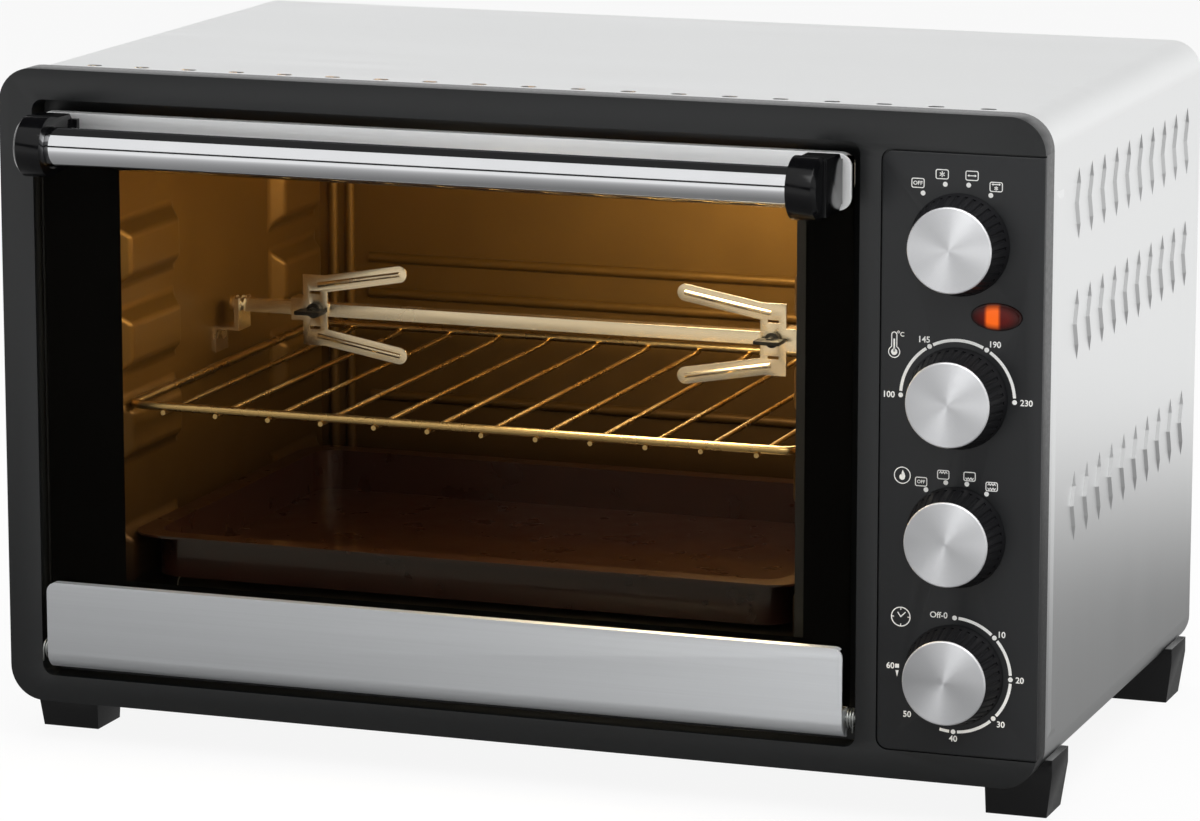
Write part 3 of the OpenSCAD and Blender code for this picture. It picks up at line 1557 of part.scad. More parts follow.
outer_wrap();
front_frame();
control_fascia();
pilot_lamp();
fan_switch();
thermostat();
function_switch();
timer();
cavity_left_wall();
cavity_right_wall();
cavity_back();
cavity_top();
cavity_floor();
heating_elements();
heater_insulators();
fan_motor();
fan_guard();
rotisserie_motor();
spit_support();
lamp_holder();
lamp_bulb();
lamp_cover();
base_plate();
back_panel();
cord_gland();
feet();
foot_screws();
back_screws();
hinge_blocks();
door_glass();
door_top_rail();
door_bottom_rail();
handle_tube();
handle_bracket_left();
handle_bracket_right();
handle_screws();
hinge_pins();
hinge_springs();
fan_knob();
fan_knob_cap();
fan_switch_shaft();
temperature_knob();
temperature_knob_cap();
thermostat_shaft();
function_knob();
function_knob_cap();
function_switch_shaft();
timer_knob();
timer_knob_cap();
timer_shaft();
spit();
spit_fork_left();
spit_fork_right();
thumb_screws();
drive_socket();
fan_blade();
fan_shaft();
wire_rack();
baking_tray();
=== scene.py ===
import json
import math

import bmesh
import bpy
from mathutils import Matrix, Vector


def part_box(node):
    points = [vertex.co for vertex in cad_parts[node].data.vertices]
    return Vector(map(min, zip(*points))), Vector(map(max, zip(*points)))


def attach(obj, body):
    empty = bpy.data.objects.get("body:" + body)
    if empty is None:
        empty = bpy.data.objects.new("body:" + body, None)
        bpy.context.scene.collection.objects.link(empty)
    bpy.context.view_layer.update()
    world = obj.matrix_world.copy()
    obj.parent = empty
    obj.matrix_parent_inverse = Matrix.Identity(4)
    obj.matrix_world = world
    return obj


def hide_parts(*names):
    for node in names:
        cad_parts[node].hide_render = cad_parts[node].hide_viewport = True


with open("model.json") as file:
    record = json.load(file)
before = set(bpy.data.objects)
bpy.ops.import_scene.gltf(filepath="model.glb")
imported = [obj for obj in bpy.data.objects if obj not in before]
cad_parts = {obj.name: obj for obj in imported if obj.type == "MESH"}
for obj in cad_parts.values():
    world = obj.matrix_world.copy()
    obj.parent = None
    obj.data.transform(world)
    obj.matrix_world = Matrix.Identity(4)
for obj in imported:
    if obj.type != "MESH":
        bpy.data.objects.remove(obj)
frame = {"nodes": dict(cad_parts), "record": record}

# Looks of a countertop convection oven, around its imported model. Metres, in the part's own frame.

MM = 0.001
NODES = frame["nodes"]
RECORD = frame["record"]
SLOT_OF = {part["node"]: part["material_slot"] for part in RECORD["subparts"]}
BODY_OF = {node: body for body, members in RECORD["behaviour"]["bodies"].items() for node in members}
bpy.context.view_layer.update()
scene = bpy.context.scene
scene.view_settings.view_transform = "Standard"


# Materials


def linear(colour):
    """sRGB hex to the linear colour that a shader takes."""
    parts = [int(colour[i:i + 2], 16) / 255 for i in (1, 3, 5)]
    return [c / 12.92 if c <= 0.04045 else ((c + 0.055) / 1.055) ** 2.4 for c in parts] + [1.0]


def add(tree, kind, inputs, **settings):
    """One shader node with its settings. An input is a plain value or another node's output."""
    node = tree.nodes.new(kind)
    for name, value in settings.items():
        setattr(node, name, value)
    for name, value in inputs.items():
        if isinstance(value, bpy.types.NodeSocket):
            tree.links.new(value, node.inputs[name])
        else:
            node.inputs[name].default_value = value
    return node


def surface(name, plain, driven):
    """A material with one Principled shader. driven builds its patterns and returns them by socket."""
    material = bpy.data.materials.new(name)
    material.use_nodes = True
    tree = material.node_tree
    shader = tree.nodes["Principled BSDF"]
    for socket, value in plain.items():
        shader.inputs[socket].default_value = value
    place = add(tree, "ShaderNodeTexCoord", {}).outputs["Object"]
    for socket, source in driven(tree, place).items():
        tree.links.new(source, shader.inputs[socket])
    return material


# Most of a noise lies between these two values
NOISE_LOW = 0.3
NOISE_HIGH = 0.7
NOISE_DETAIL = 3.0


def grained(tree, place, size_mm, dark, pale, rough, bump_mm):
    """Colour, roughness and bump from one noise. size_mm is the grain along x, y and z."""
    scaled = add(tree, "ShaderNodeMapping", {"Vector": place, "Scale": [1 / (s * MM) for s in size_mm]})
    noise = add(tree, "ShaderNodeTexNoise",
                {"Vector": scaled.outputs[0], "Scale": 1.0, "Detail": NOISE_DETAIL})
    tone = add(tree, "ShaderNodeMix",
               {0: noise.outputs[0], 6: linear(dark), 7: linear(pale)}, data_type="RGBA")
    gloss = add(tree, "ShaderNodeMapRange",
                {"Value": noise.outputs[0], "From Min": NOISE_LOW, "From Max": NOISE_HIGH,
                 "To Min": rough[0], "To Max": rough[1]})
    driven = {"Base Color": tone.outputs[2], "Roughness": gloss.outputs[0]}
    if bump_mm:
        relief = add(tree, "ShaderNodeBump",
                     {"Height": noise.outputs[0], "Distance": bump_mm * MM, "Strength": 1.0})
        driven["Normal"] = relief.outputs[0]
    return driven


GRAIN_MAP = "across_the_brushing"
BRUSH_GAP_MM = 1.0
BRUSH_RUN_MM = 140.0
QUARTER_TURN = 0.25


def brushed_wrap(name):
    # Stainless sheet brushed round the oven, up one side, over the top and down the other:
    # fine long lines that draw highlights out across them.
    # The real lines are about 0.1 mm apart; they are drawn at 1 mm so that they show.
    def lines(tree, place):
        driven = grained(tree, place, (BRUSH_RUN_MM, BRUSH_GAP_MM, BRUSH_RUN_MM),
                         "#f0f1f1", "#f6f7f7", rough=(0.28, 0.35), bump_mm=0.003)
        way = add(tree, "ShaderNodeTangent", {}, direction_type="RADIAL", axis="Y")
        driven["Tangent"] = way.outputs[0]
        return driven
    return surface(name, {"Metallic": 1.0, "Anisotropic": 0.4, "Anisotropic Rotation": QUARTER_TURN},
                   lines)


def brushed_rail(name, dark, pale, rough, stretch):
    # Stainless strip brushed along its length: light spreads up and down it.
    # Its lines are drawn as coarse as the wrap's.
    def lines(tree, place):
        driven = grained(tree, place, (BRUSH_RUN_MM, BRUSH_GAP_MM, BRUSH_GAP_MM),
                         dark, pale, rough, bump_mm=0.0006)
        way = add(tree, "ShaderNodeTangent", {}, direction_type="UV_MAP", uv_map=GRAIN_MAP)
        driven["Tangent"] = way.outputs[0]
        return driven
    return surface(name, {"Metallic": 1.0, "Anisotropic": stretch}, lines)


ORANGE_PEEL_MM = 2.0


def satin_paint(name, dark, pale, rough, shine):
    # Powder-coated or lacquered steel: deep black, a soft even gleam and a faint orange peel.
    return surface(name, {"Specular IOR Level": shine},
                   lambda tree, place: grained(tree, place, (ORANGE_PEEL_MM,) * 3, dark, pale, rough,
                                               bump_mm=0.02))


def moulded_plastic(name, dark, pale, rough, shine, grain_mm):
    # Moulded or pressed and fired: even colour, with a fine texture from the mould that breaks up its gloss.
    return surface(name, {"Specular IOR Level": shine},
                   lambda tree, place: grained(tree, place, (grain_mm,) * 3, dark, pale, rough,
                                               bump_mm=0.015))


def bare_metal(name, dark, pale, rough, cloud_mm, bump_mm):
    # Plated or bare metal: a mirror blurred by its finish, with cloudy patches of lighter and darker tone.
    return surface(name, {"Metallic": 1.0},
                   lambda tree, place: grained(tree, place, (cloud_mm,) * 3, dark, pale, rough, bump_mm))


# At scale 1, Blender's wave texture repeats after this length
WAVE_TURN = 2 * math.pi / 20
RING_GAP_MM = 0.6
CAP_D_MM = (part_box("fan_knob_cap")[1].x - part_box("fan_knob_cap")[0].x) / MM
# The rings run on Generated coordinates, where a cap is 1 across
RING_SCALE = WAVE_TURN * CAP_D_MM / RING_GAP_MM


def spun_aluminium(name):
    # Aluminium disc turned on a lathe: fine rings, so light gathers in bright fans from the centre.
    # The real rings are about 0.1 mm apart; they are drawn at 0.6 mm so that they show.
    def rings(tree, place):
        across = place.node.outputs["Generated"]
        centred = add(tree, "ShaderNodeVectorMath", {0: across, 1: (0.5, 0.5, 0.5)}, operation="SUBTRACT")
        turned = add(tree, "ShaderNodeTexWave",
                     {"Vector": centred.outputs[0], "Scale": RING_SCALE, "Distortion": 0.4, "Detail": 2.0},
                     wave_type="RINGS", rings_direction="Y")
        tone = add(tree, "ShaderNodeMix",
                   {0: turned.outputs[1], 6: linear("#ebecee"), 7: linear("#f3f4f6")}, data_type="RGBA")
        gloss = add(tree, "ShaderNodeMapRange",
                    {"Value": turned.outputs[1], "To Min": 0.38, "To Max": 0.44})
        way = add(tree, "ShaderNodeTangent", {}, direction_type="RADIAL", axis="Y")
        return {"Base Color": tone.outputs[2], "Roughness": gloss.outputs[0], "Tangent": way.outputs[0]}
    return surface(name, {"Metallic": 1.0, "Anisotropic": 0.85, "Anisotropic Rotation": QUARTER_TURN},
                   rings)


GLASS_RIPPLE_MM = 60.0


def clear_glass(name, tint, bend, rough):
    # Float glass with a slow ripple in its gloss. It lets lamps through, so what is behind it stays lit.
    def faint_ripple(tree, place):
        grain = grained(tree, place, (GLASS_RIPPLE_MM,) * 3, tint, tint, rough, bump_mm=0.0)
        return {"Roughness": grain["Roughness"]}
    material = surface(name, {"Base Color": linear(tint), "Transmission Weight": 1.0, "IOR": bend},
                       faint_ripple)
    tree = material.node_tree
    path = add(tree, "ShaderNodeLightPath", {})
    open_way = add(tree, "ShaderNodeBsdfTransparent", {"Color": linear(tint)})
    mix = add(tree, "ShaderNodeMixShader", {0: path.outputs["Is Shadow Ray"],
                                            1: tree.nodes["Principled BSDF"].outputs[0],
                                            2: open_way.outputs[0]})
    tree.links.new(mix.outputs[0], tree.nodes["Material Output"].inputs["Surface"])
    return material


CLOUDING_MM = 26.0
# Height above the cavity's floor below which its painted shade is darkest
FULL_PAINTED_SHADE_MM = 35.0


def gold_sheet_painted_light_and_shade(name):
    # Aluminised sheet with its gold painted in for the oven lamp's warm light, and painted shade that turns
    # it brown towards the floor:
    # satin, half mirror and half haze, with faint clouding.
    low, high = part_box("cavity_back")

    def stained(tree, place):
        # Gold painted in for the oven lamp's warm light, with faint clouding
        driven = grained(tree, place, (CLOUDING_MM,) * 3, "#86632a", "#926d31",
                         rough=(0.38, 0.46), bump_mm=0.0)
        # Painted shade: dark brown near the floor, fading into the painted gold towards the top of the
        # cavity
        height = add(tree, "ShaderNodeSeparateXYZ", {"Vector": place}).outputs["Z"]
        lit_share = add(tree, "ShaderNodeMapRange",
                    {"Value": height, "From Min": low.z + FULL_PAINTED_SHADE_MM * MM, "From Max": high.z})
        tone = add(tree, "ShaderNodeMix",
                   {0: lit_share.outputs[0], 6: linear("#1f1004"), 7: driven["Base Color"]}, data_type="RGBA")
        driven["Base Color"] = tone.outputs[2]
        return driven
    return surface(name, {"Metallic": 0.6, "Specular IOR Level": 0.3}, stained)


ENAMEL_RIPPLE_MM = 18.0


def vitreous_enamel(name):
    # Fired enamel: glass over steel, almost black brown, wet gloss, with a slow ripple in it.
    return surface(name, {"Coat Weight": 0.6, "Coat Roughness": 0.08, "Specular IOR Level": 0.3},
                   lambda tree, place: grained(tree, place, (ENAMEL_RIPPLE_MM,) * 3,
                                               "#150603", "#1f0c06", rough=(0.26, 0.34),
                                               bump_mm=0.01))


# The pilot lens: its size, how far left of its middle its neon sits, and how far the glow reaches
LENS_W_MM = 25.0
LENS_H_MM = 12.8
NEON_LEFT_MM = 1.8
NEON_HALF_MM = 2.6
NEON_FADE_MM = 4.4
FACET_GAP_MM = 0.785
# Shares of the way from the lens's middle to its rim, where its glow starts and stops to fade
RIM_START = 0.5
RIM_END = 0.97
RIM_GLOW = 0.05


def lit_lens(name, node):
    # Clear red polycarbonate over a neon lamp, moulded with fine upright facets:
    # a block of orange left of its middle, deep red beside it, black at its rim.
    low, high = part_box(node)

    def glow(tree, place):
        middle = [-(low.x + high.x) / 2, 0.0, -(low.z + high.z) / 2]
        moved = add(tree, "ShaderNodeMapping", {"Vector": place, "Location": middle})
        across = add(tree, "ShaderNodeSeparateXYZ", {"Vector": moved.outputs[0]}).outputs["X"]
        aside = add(tree, "ShaderNodeMath", {0: across, 1: NEON_LEFT_MM * MM}, operation="ADD")
        away = add(tree, "ShaderNodeMath", {0: aside.outputs[0]}, operation="ABSOLUTE")
        level = add(tree, "ShaderNodeMapRange",
                    {"Value": away.outputs[0], "From Min": NEON_HALF_MM * MM,
                     "From Max": NEON_FADE_MM * MM, "To Min": 1.0, "To Max": 0.0})
        shrunk = add(tree, "ShaderNodeMapping",
                     {"Vector": moved.outputs[0],
                      "Scale": (2 / (LENS_W_MM * MM), 0.0, 2 / (LENS_H_MM * MM))})
        out = add(tree, "ShaderNodeVectorMath", {0: shrunk.outputs[0]}, operation="LENGTH")
        inside = add(tree, "ShaderNodeMapRange",
                     {"Value": out.outputs["Value"], "From Min": RIM_START, "From Max": RIM_END,
                      "To Min": 1.0, "To Max": RIM_GLOW})
        facets = add(tree, "ShaderNodeTexWave",
                     {"Vector": place, "Scale": WAVE_TURN / (FACET_GAP_MM * MM)}, bands_direction="X")
        lit = add(tree, "ShaderNodeMix",
                  {0: level.outputs[0], 6: linear("#8a1006"), 7: linear("#ff6a14")}, data_type="RGBA")
        shone = add(tree, "ShaderNodeMapRange", {"Value": level.outputs[0], "To Min": 0.3, "To Max": 0.95})
        power = add(tree, "ShaderNodeMath", {0: shone.outputs[0], 1: inside.outputs[0]},
                    operation="MULTIPLY")
        relief = add(tree, "ShaderNodeBump", {"Height": facets.outputs[1], "Distance": 0.05 * MM})
        return {"Emission Color": lit.outputs[2], "Emission Strength": power.outputs[0],
                "Normal": relief.outputs[0]}
    return surface(name, {"Base Color": linear("#1a0402"), "Roughness": 0.2, "Specular IOR Level": 0.25},
                   glow)


OPAL_GRAIN_MM = 4.0


def lit_bulb(name):
    # Opal lamp glass with the filament behind it: bright and warm all over.
    return surface(name, {"Emission Color": linear("#ffb45c"), "Emission Strength": 6.0},
                   lambda tree, place: grained(tree, place, (OPAL_GRAIN_MM,) * 3,
                                               "#ffd9a0", "#ffe9c4", rough=(0.2, 0.3), bump_mm=0.0))


MESH_MARK_MM = 1.0


def screen_ink(name, colour, pale, shine):
    # Screen-printed ink: flat and matt, a touch uneven where the mesh lifted.
    return surface(name, {"Specular IOR Level": shine},
                   lambda tree, place: grained(tree, place, (MESH_MARK_MM,) * 3, colour, pale,
                                               rough=(0.5, 0.6), bump_mm=0.005))


FINISH = {
    # Pale steel with long soft streaks of light
    "stainless": brushed_wrap("brushed_stainless_wrap"),
    # Deep black pressings with a soft gleam along their edges
    "black_frame": satin_paint("black_powder_coat", "#121314", "#181a1b", rough=(0.30, 0.38), shine=0.5),
    # A shade lighter and duller than the frame round it
    "black_fascia": satin_paint("black_fascia_lacquer", "#161719", "#1b1d1f", rough=(0.36, 0.44),
                                shine=0.5),
    "pilot_red": lit_lens("red_lamp_lens", "pilot_lamp"),
    # Waxy cream housings
    "pale_plastic": moulded_plastic("ivory_switch_nylon", "#cfc8b4", "#ded8c8", rough=(0.45, 0.6),
                                    shine=0.4, grain_mm=1.5),
    # Grey sheet with the cloudy bloom of zinc
    "plated_steel": bare_metal("zinc_plated_steel", "#a4a6a3", "#c3c5c2", rough=(0.28, 0.42),
                               cloud_mm=14.0, bump_mm=0.01),
    "cavity_steel": gold_sheet_painted_light_and_shade("cavity_steel_painted_gold_light_and_shade"),
    # Dull brown-grey tube with heat stains
    "heater_steel": bare_metal("heat_stained_tube", "#4b443c", "#6a6055", rough=(0.4, 0.55),
                               cloud_mm=9.0, bump_mm=0.01),
    # Chalky off-white bushes
    "ceramic": moulded_plastic("steatite_ceramic", "#d9d4c4", "#e8e4d8", rough=(0.55, 0.7),
                               shine=0.4, grain_mm=2.0),
    # Clear, with the reflections of ordinary glass
    "lamp_glass": clear_glass("lamp_cover_glass", "#f4efe2", bend=1.45, rough=(0.02, 0.06)),
    # Dull black, a fine grain in the light
    "black_plastic": moulded_plastic("black_moulded_nylon", "#0c0c0d", "#121213", rough=(0.38, 0.5),
                                     shine=0.35, grain_mm=1.2),
    # Coated glass, so almost free of reflections: its low index gives that
    "door_glass": clear_glass("door_float_glass", "#f0e9dc", bend=1.05, rough=(0.0, 0.01)),
    # A clean mirror
    "chrome": bare_metal("polished_chrome", "#d9dadc", "#e6e7e9", rough=(0.04, 0.09), cloud_mm=40.0,
                         bump_mm=0.0),
    # Soft black that dulls between its flutes
    "knob_black": moulded_plastic("black_knob_abs", "#0f0f11", "#151518", rough=(0.42, 0.52),
                                  shine=0.3, grain_mm=1.0),
    "knob_cap": spun_aluminium("spun_aluminium_cap"),
    "dark_enamel": vitreous_enamel("brown_black_enamel"),
}
# Satin strip, darker where it leans away from the light
rail_steel = brushed_rail("brushed_stainless_rail", "#e0e2e4", "#eaecee", rough=(0.44, 0.52), stretch=0.7)
# The same steel, painted whiter and more even: painted light for the sheen the top rail catches from above
rail_steel_painted_light = brushed_rail("brushed_stainless_rail_painted_light", "#f4f5f5", "#fafafa",
                                 rough=(0.50, 0.56), stretch=0.2)
# Piano black with sharp small highlights
gloss_black = moulded_plastic("gloss_black_abs", "#050506", "#08080a", rough=(0.14, 0.20), shine=0.25,
                              grain_mm=4.0)
# Warm white metal with blurred reflections
bright_nickel = bare_metal("bright_nickel_plate", "#ece2cc", "#f4ecda", rough=(0.20, 0.28), cloud_mm=30.0,
                           bump_mm=0.0)
# Chrome wire that heat has tinted yellow
rack_chrome = bare_metal("warm_chrome_rack_wire", "#bda371", "#cdb482", rough=(0.24, 0.32), cloud_mm=30.0,
                         bump_mm=0.0)
# Black with a wide soft highlight
foot_black = moulded_plastic("semi_gloss_black_abs", "#0b0b0c", "#101011", rough=(0.18, 0.26), shine=0.5,
                             grain_mm=2.0)
# Rim of an aluminium disc cut by a diamond tool: a clean white line of light all round it
cap_edge = bare_metal("turned_aluminium_edge", "#f2f2f4", "#fafafb", rough=(0.45, 0.55), cloud_mm=4.0,
                      bump_mm=0.0)
white_ink = screen_ink("white_screen_ink", "#e9e9e6", "#f6f6f4", shine=0.1)
# Black behind glass, where it has no gleam of its own
border_ink = screen_ink("black_glass_border", "#020202", "#050505", shine=0.02)

FINISH_OF = {
    # The top rail wears the copy with painted light
    "door_top_rail": rail_steel_painted_light,
    "door_bottom_rail": rail_steel,
    "handle_bracket_left": gloss_black,
    "handle_bracket_right": gloss_black,
    "lamp_bulb": lit_bulb("lit_opal_bulb"),
    "feet": foot_black,
    "wire_rack": rack_chrome,
    "spit": bright_nickel,
    "spit_fork_left": bright_nickel,
    "spit_fork_right": bright_nickel,
    "spit_support": bright_nickel,
}


def finish_of(node):
    return FINISH_OF.get(node, FINISH[SLOT_OF[node]])


# Pieces


def piece(name, bm, material, body):
    """A new piece from a bmesh, riding on a body."""
    mesh = bpy.data.meshes.new(name)
    bm.to_mesh(mesh)
    bm.free()
    mesh.materials.append(material)
    made = bpy.data.objects.new(name, mesh)
    scene.collection.objects.link(made)
    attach(made, body)
    return made


WELD = 0.002 * MM
FLAT_ANGLE = math.radians(0.5)
EDGE_ANGLE = math.radians(32)
EDGE_STEPS = 3
FOLD_MARGIN = 1.0 * MM


def dress(node, name, radius_mm, least_mm=0.0):
    """Stands in for a CAD node with the same shape and with its edges rounded as the real piece has them.
    With least_mm, only folds longer than that and away from the sheet's own edges are rounded."""
    bm = bmesh.new()
    bm.from_mesh(NODES[node].data)
    bmesh.ops.remove_doubles(bm, verts=bm.verts, dist=WELD)
    bmesh.ops.dissolve_limit(bm, angle_limit=FLAT_ANGLE, verts=bm.verts, edges=bm.edges)
    grain = bm.loops.layers.uv.new(GRAIN_MAP)
    for face in bm.faces:
        for corner in face.loops:
            corner[grain].uv = (corner.vert.co.z, corner.vert.co.x)
    low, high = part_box(node)
    folds = bm.edges.layers.float.new("bevel_weight_edge")
    for edge in bm.edges:
        inside = all(low[k] + FOLD_MARGIN < v.co[k] < high[k] - FOLD_MARGIN
                     for v in edge.verts for k in (1, 2))
        edge[folds] = 1.0 if inside and edge.calc_length() > least_mm * MM else 0.0
    made = piece(name, bm, finish_of(node), BODY_OF[node])
    made.data.shade_smooth()
    rounded = made.modifiers.new("rounded edges", "BEVEL")
    rounded.width = radius_mm * MM
    rounded.segments = EDGE_STEPS
    rounded.limit_method = "WEIGHT" if least_mm else "ANGLE"
    rounded.angle_limit = EDGE_ANGLE
    rounded.harden_normals = not least_mm
    rounded.use_clamp_overlap = not least_mm
    if least_mm:
        made.modifiers.new("flat between folds", "WEIGHTED_NORMAL")
    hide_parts(node)
    return made


for node, shape in NODES.items():
    shape.data.materials.clear()
    shape.data.materials.append(finish_of(node))

# What stands for each node, and the radius of its edges in millimetres
EDGE_RADII = {
    "front_frame": ("front_frame_pressing", 1.3),
    "control_fascia": ("fascia_plate", 0.4),
    "handle_bracket_left": ("left_handle_bracket_moulding", 0.9),
    "handle_bracket_right": ("right_handle_bracket_moulding", 0.9),
    "door_top_rail": ("top_rail_folded", 0.5),
    "door_bottom_rail": ("bottom_rail_folded", 0.5),
    "feet": ("foot_mouldings", 1.2),
    "spit_fork_left": ("left_fork_stamping", 0.4),
    "spit_fork_right": ("right_fork_stamping", 0.4),
    "spit": ("spit_bar", 0.5),
    "thumb_screws": ("wing_screws", 0.5),
    "pilot_lamp": ("pilot_lens", 0.7),
    "cord_gland": ("cord_bushing", 0.8),
}
for node, (name, radius) in EDGE_RADII.items():
    dress(node, name, radius)

PRESSING_RADIUS_MM = 2.6
LEAST_FOLD_MM = 4.0
for side in ("left", "right"):
    dress(f"cavity_{side}_wall", f"{side}_wall_pressing", PRESSING_RADIUS_MM, LEAST_FOLD_MM)

CAP_EDGE_MM = 0.3
FACING_FRONT = 0.9
for dial in ("fan", "temperature", "function", "timer"):
    disc = dress(f"{dial}_knob_cap", f"{dial}_cap_disc", CAP_EDGE_MM)
    disc.data.materials.append(cap_edge)
    for face in disc.data.polygons:
        face.material_index = 0 if abs(face.normal.y) > FACING_FRONT else 1


def wire(bm, points, radius, sides=12):
    """A round wire through points, closed at both ends."""
    rings = []
    side = None
    turns = [2 * math.pi * k / sides for k in range(sides)]
    for i, point in enumerate(points):
        way = (points[min(i + 1, len(points) - 1)] - points[max(i - 1, 0)]).normalized()
        side = (way.orthogonal() if side is None else side - way * side.dot(way)).normalized()
        up = way.cross(side)
        rings.append([bm.verts.new(point + radius * (math.cos(a) * side + math.sin(a) * up))
                      for a in turns])
    for a, b in zip(rings, rings[1:]):
        for k in range(sides):
            bm.faces.new((a[k], a[(k + 1) % sides], b[(k + 1) % sides], b[k]))
    bm.faces.new(rings[0][::-1])
    bm.faces.new(rings[-1])


SPRING_WIRE_R = 0.45 * MM
SPRING_R = 5.0 * MM
SPRING_CURLS = 2.5
SPRING_RISE = 3.5 * MM
SPRING_LEG = 6.0 * MM
SPRING_STEPS = 90


def coil_springs():
    """Wound torsion springs on the hinge pins, one at each end of the bottom rail."""
    node = "hinge_springs"
    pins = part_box("hinge_pins")
    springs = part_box(node)
    y, z = ((pins[0][k] + pins[1][k]) / 2 for k in (1, 2))
    leg = Vector((0.0, 0.0, -SPRING_LEG))
    bm = bmesh.new()
    for s, end in ((-1, springs[0].x), (1, springs[1].x)):
        start = end - s * (SPRING_WIRE_R + SPRING_RISE)
        points = []
        for i in range(SPRING_STEPS + 1):
            share = i / SPRING_STEPS
            a = 2 * math.pi * SPRING_CURLS * share
            points.append(Vector((start + s * SPRING_RISE * share,
                                  y + SPRING_R * math.cos(a), z + SPRING_R * math.sin(a))))
        wire(bm, [points[0] + leg] + points + [points[-1] + leg], SPRING_WIRE_R)
    bmesh.ops.recalc_face_normals(bm, faces=bm.faces)
    made = piece("hinge_coil_springs", bm, finish_of(node), BODY_OF[node])
    made.data.shade_smooth()
    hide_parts(node)


coil_springs()


# Printed dial scales on the fascia, and the black border on the glass. Places on a dial are in
# millimetres right of its axis and above it.

INK_T = 0.06 * MM
THIN = 0.45 * MM
FIGURE_BOLD = 0.018
FIGURE_STEPS = 4
FIGURE_H = 3.1 * MM
SHARPEST_CORNER = 0.4
DOT_R = 1.2 * MM
DOT_STEPS = 16
ARC_R = 28.5 * MM
ARC_W = 1.5 * MM
ARC_GAP = 2.0 * MM
ARC_STEPS = 18
CORNER_R = 0.8 * MM
CORNER_STEPS = 4
HEAD = 0.9 * MM
HEAD_SHARE = 0.7
PEAKS = 3


def ring_points(x, z, r, start, end, steps):
    """Points on a circle from start to end degrees, clockwise from the top."""
    turns = [math.radians(start + (end - start) * i / steps) for i in range(steps + 1)]
    return [(x + r * math.sin(a), z + r * math.cos(a)) for a in turns]


def whole_ring(x, z, r, n):
    """n points all round a circle."""
    return ring_points(x, z, r, 0, 360 - 360 / n, n - 1)


def placed(x, z, spots_mm):
    """Spots in millimetres from x and z, as points."""
    return [(x + dx * MM, z + dz * MM) for dx, dz in spots_mm]


def fill(bm, points):
    """A filled flat shape of x and z points."""
    bm.faces.new([bm.verts.new((x, 0.0, z)) for x, z in points])


def stroke(bm, points, width, closed=False):
    """A flat line of even width through x and z points."""
    n = len(points)
    sides = []
    for i, (x, z) in enumerate(points):
        before = points[i - 1] if closed or i else points[0]
        after = points[(i + 1) % n] if closed or i < n - 1 else points[-1]
        way_in = Vector((x - before[0], z - before[1]))
        way_out = Vector((after[0] - x, after[1] - z))
        first = way_in.normalized() if way_in.length else way_out.normalized()
        second = way_out.normalized() if way_out.length else first
        along = (first + second).normalized()
        across = Vector((-along.y, along.x))
        reach = width / 2 / max(across.dot(Vector((-first.y, first.x))), SHARPEST_CORNER)
        sides.append([bm.verts.new((x + s * reach * across.x, 0.0, z + s * reach * across.y))
                      for s in (-1, 1)])
    for i in range(n if closed else n - 1):
        a, b = sides[i], sides[(i + 1) % n]
        bm.faces.new((a[0], b[0], b[1], a[1]))


def letters(bm, words, x, z, height):
    """Plain figures centred on x and z."""
    curve = bpy.data.curves.new("figures", "FONT")
    curve.body = words
    curve.resolution_u = FIGURE_STEPS
    curve.offset = FIGURE_BOLD
    holder = bpy.data.objects.new("figures", curve)
    outline = holder.to_mesh()
    low = [min(v.co[k] for v in outline.vertices) for k in (0, 1)]
    high = [max(v.co[k] for v in outline.vertices) for k in (0, 1)]
    scale = height / (high[1] - low[1])
    middle = [(low[k] + high[k]) / 2 for k in (0, 1)]
    made = [bm.verts.new((x + (v.co.x - middle[0]) * scale, 0.0, z + (v.co.y - middle[1]) * scale))
            for v in outline.vertices]
    for face in outline.polygons:
        bm.faces.new([made[i] for i in face.vertices])
    holder.to_mesh_clear()
    bpy.data.objects.remove(holder)
    bpy.data.curves.remove(curve)


def boxed(bm, x, z, w, h):
    """An outlined box with rounded corners, w by h."""
    points = []
    for sx, sz, start in ((1, 1, 0), (1, -1, 90), (-1, -1, 180), (-1, 1, 270)):
        points += ring_points(x + sx * (w / 2 - CORNER_R), z + sz * (h / 2 - CORNER_R), CORNER_R,
                              start, start + 90, CORNER_STEPS)
    stroke(bm, points, THIN, closed=True)


def star(bm, x, z, r):
    """Three crossed lines, the sign of the fan."""
    for a in (0, 60, 120):
        dx, dz = r * math.sin(math.radians(a)), r * math.cos(math.radians(a))
        stroke(bm, [(x - dx, z - dz), (x + dx, z + dz)], THIN)


def arrow(bm, x, z, half):
    """A line with a head at both ends, the sign of the spit."""
    stroke(bm, [(x - half + HEAD, z), (x + half - HEAD, z)], THIN)
    for s in (-1, 1):
        neck = x + s * (half - HEAD)
        fill(bm, [(x + s * half, z), (neck, z + HEAD * HEAD_SHARE), (neck, z - HEAD * HEAD_SHARE)])


def heater_line(bm, x, z, w, h, up):
    """A zigzag, the sign of a heating element."""
    n = 2 * PEAKS
    points = [(x - w / 2 + w * i / n, z + up * (h / 2 if i % 2 else -h / 2)) for i in range(n + 1)]
    stroke(bm, points, THIN)


def knob_axis(node):
    low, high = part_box(node)
    return (low.x + high.x) / 2, (low.z + high.z) / 2


def dot(bm, x, z):
    fill(bm, whole_ring(x, z, DOT_R, DOT_STEPS))


def arc_with_dots(bm, x, z, marks, last):
    """A thick arc that runs through the marks, given in degrees from the top, and on to last."""
    gap = math.degrees(ARC_GAP / ARC_R)
    ends = marks[1:] + [last]
    for start, end in zip(marks, ends):
        stop = end - gap if end != last or last in marks else end
        if stop > start + gap:
            stroke(bm, ring_points(x, z, ARC_R, start + gap, stop, ARC_STEPS), ARC_W)
    for a in marks:
        dot(bm, *ring_points(x, z, ARC_R, a, a, 1)[0])


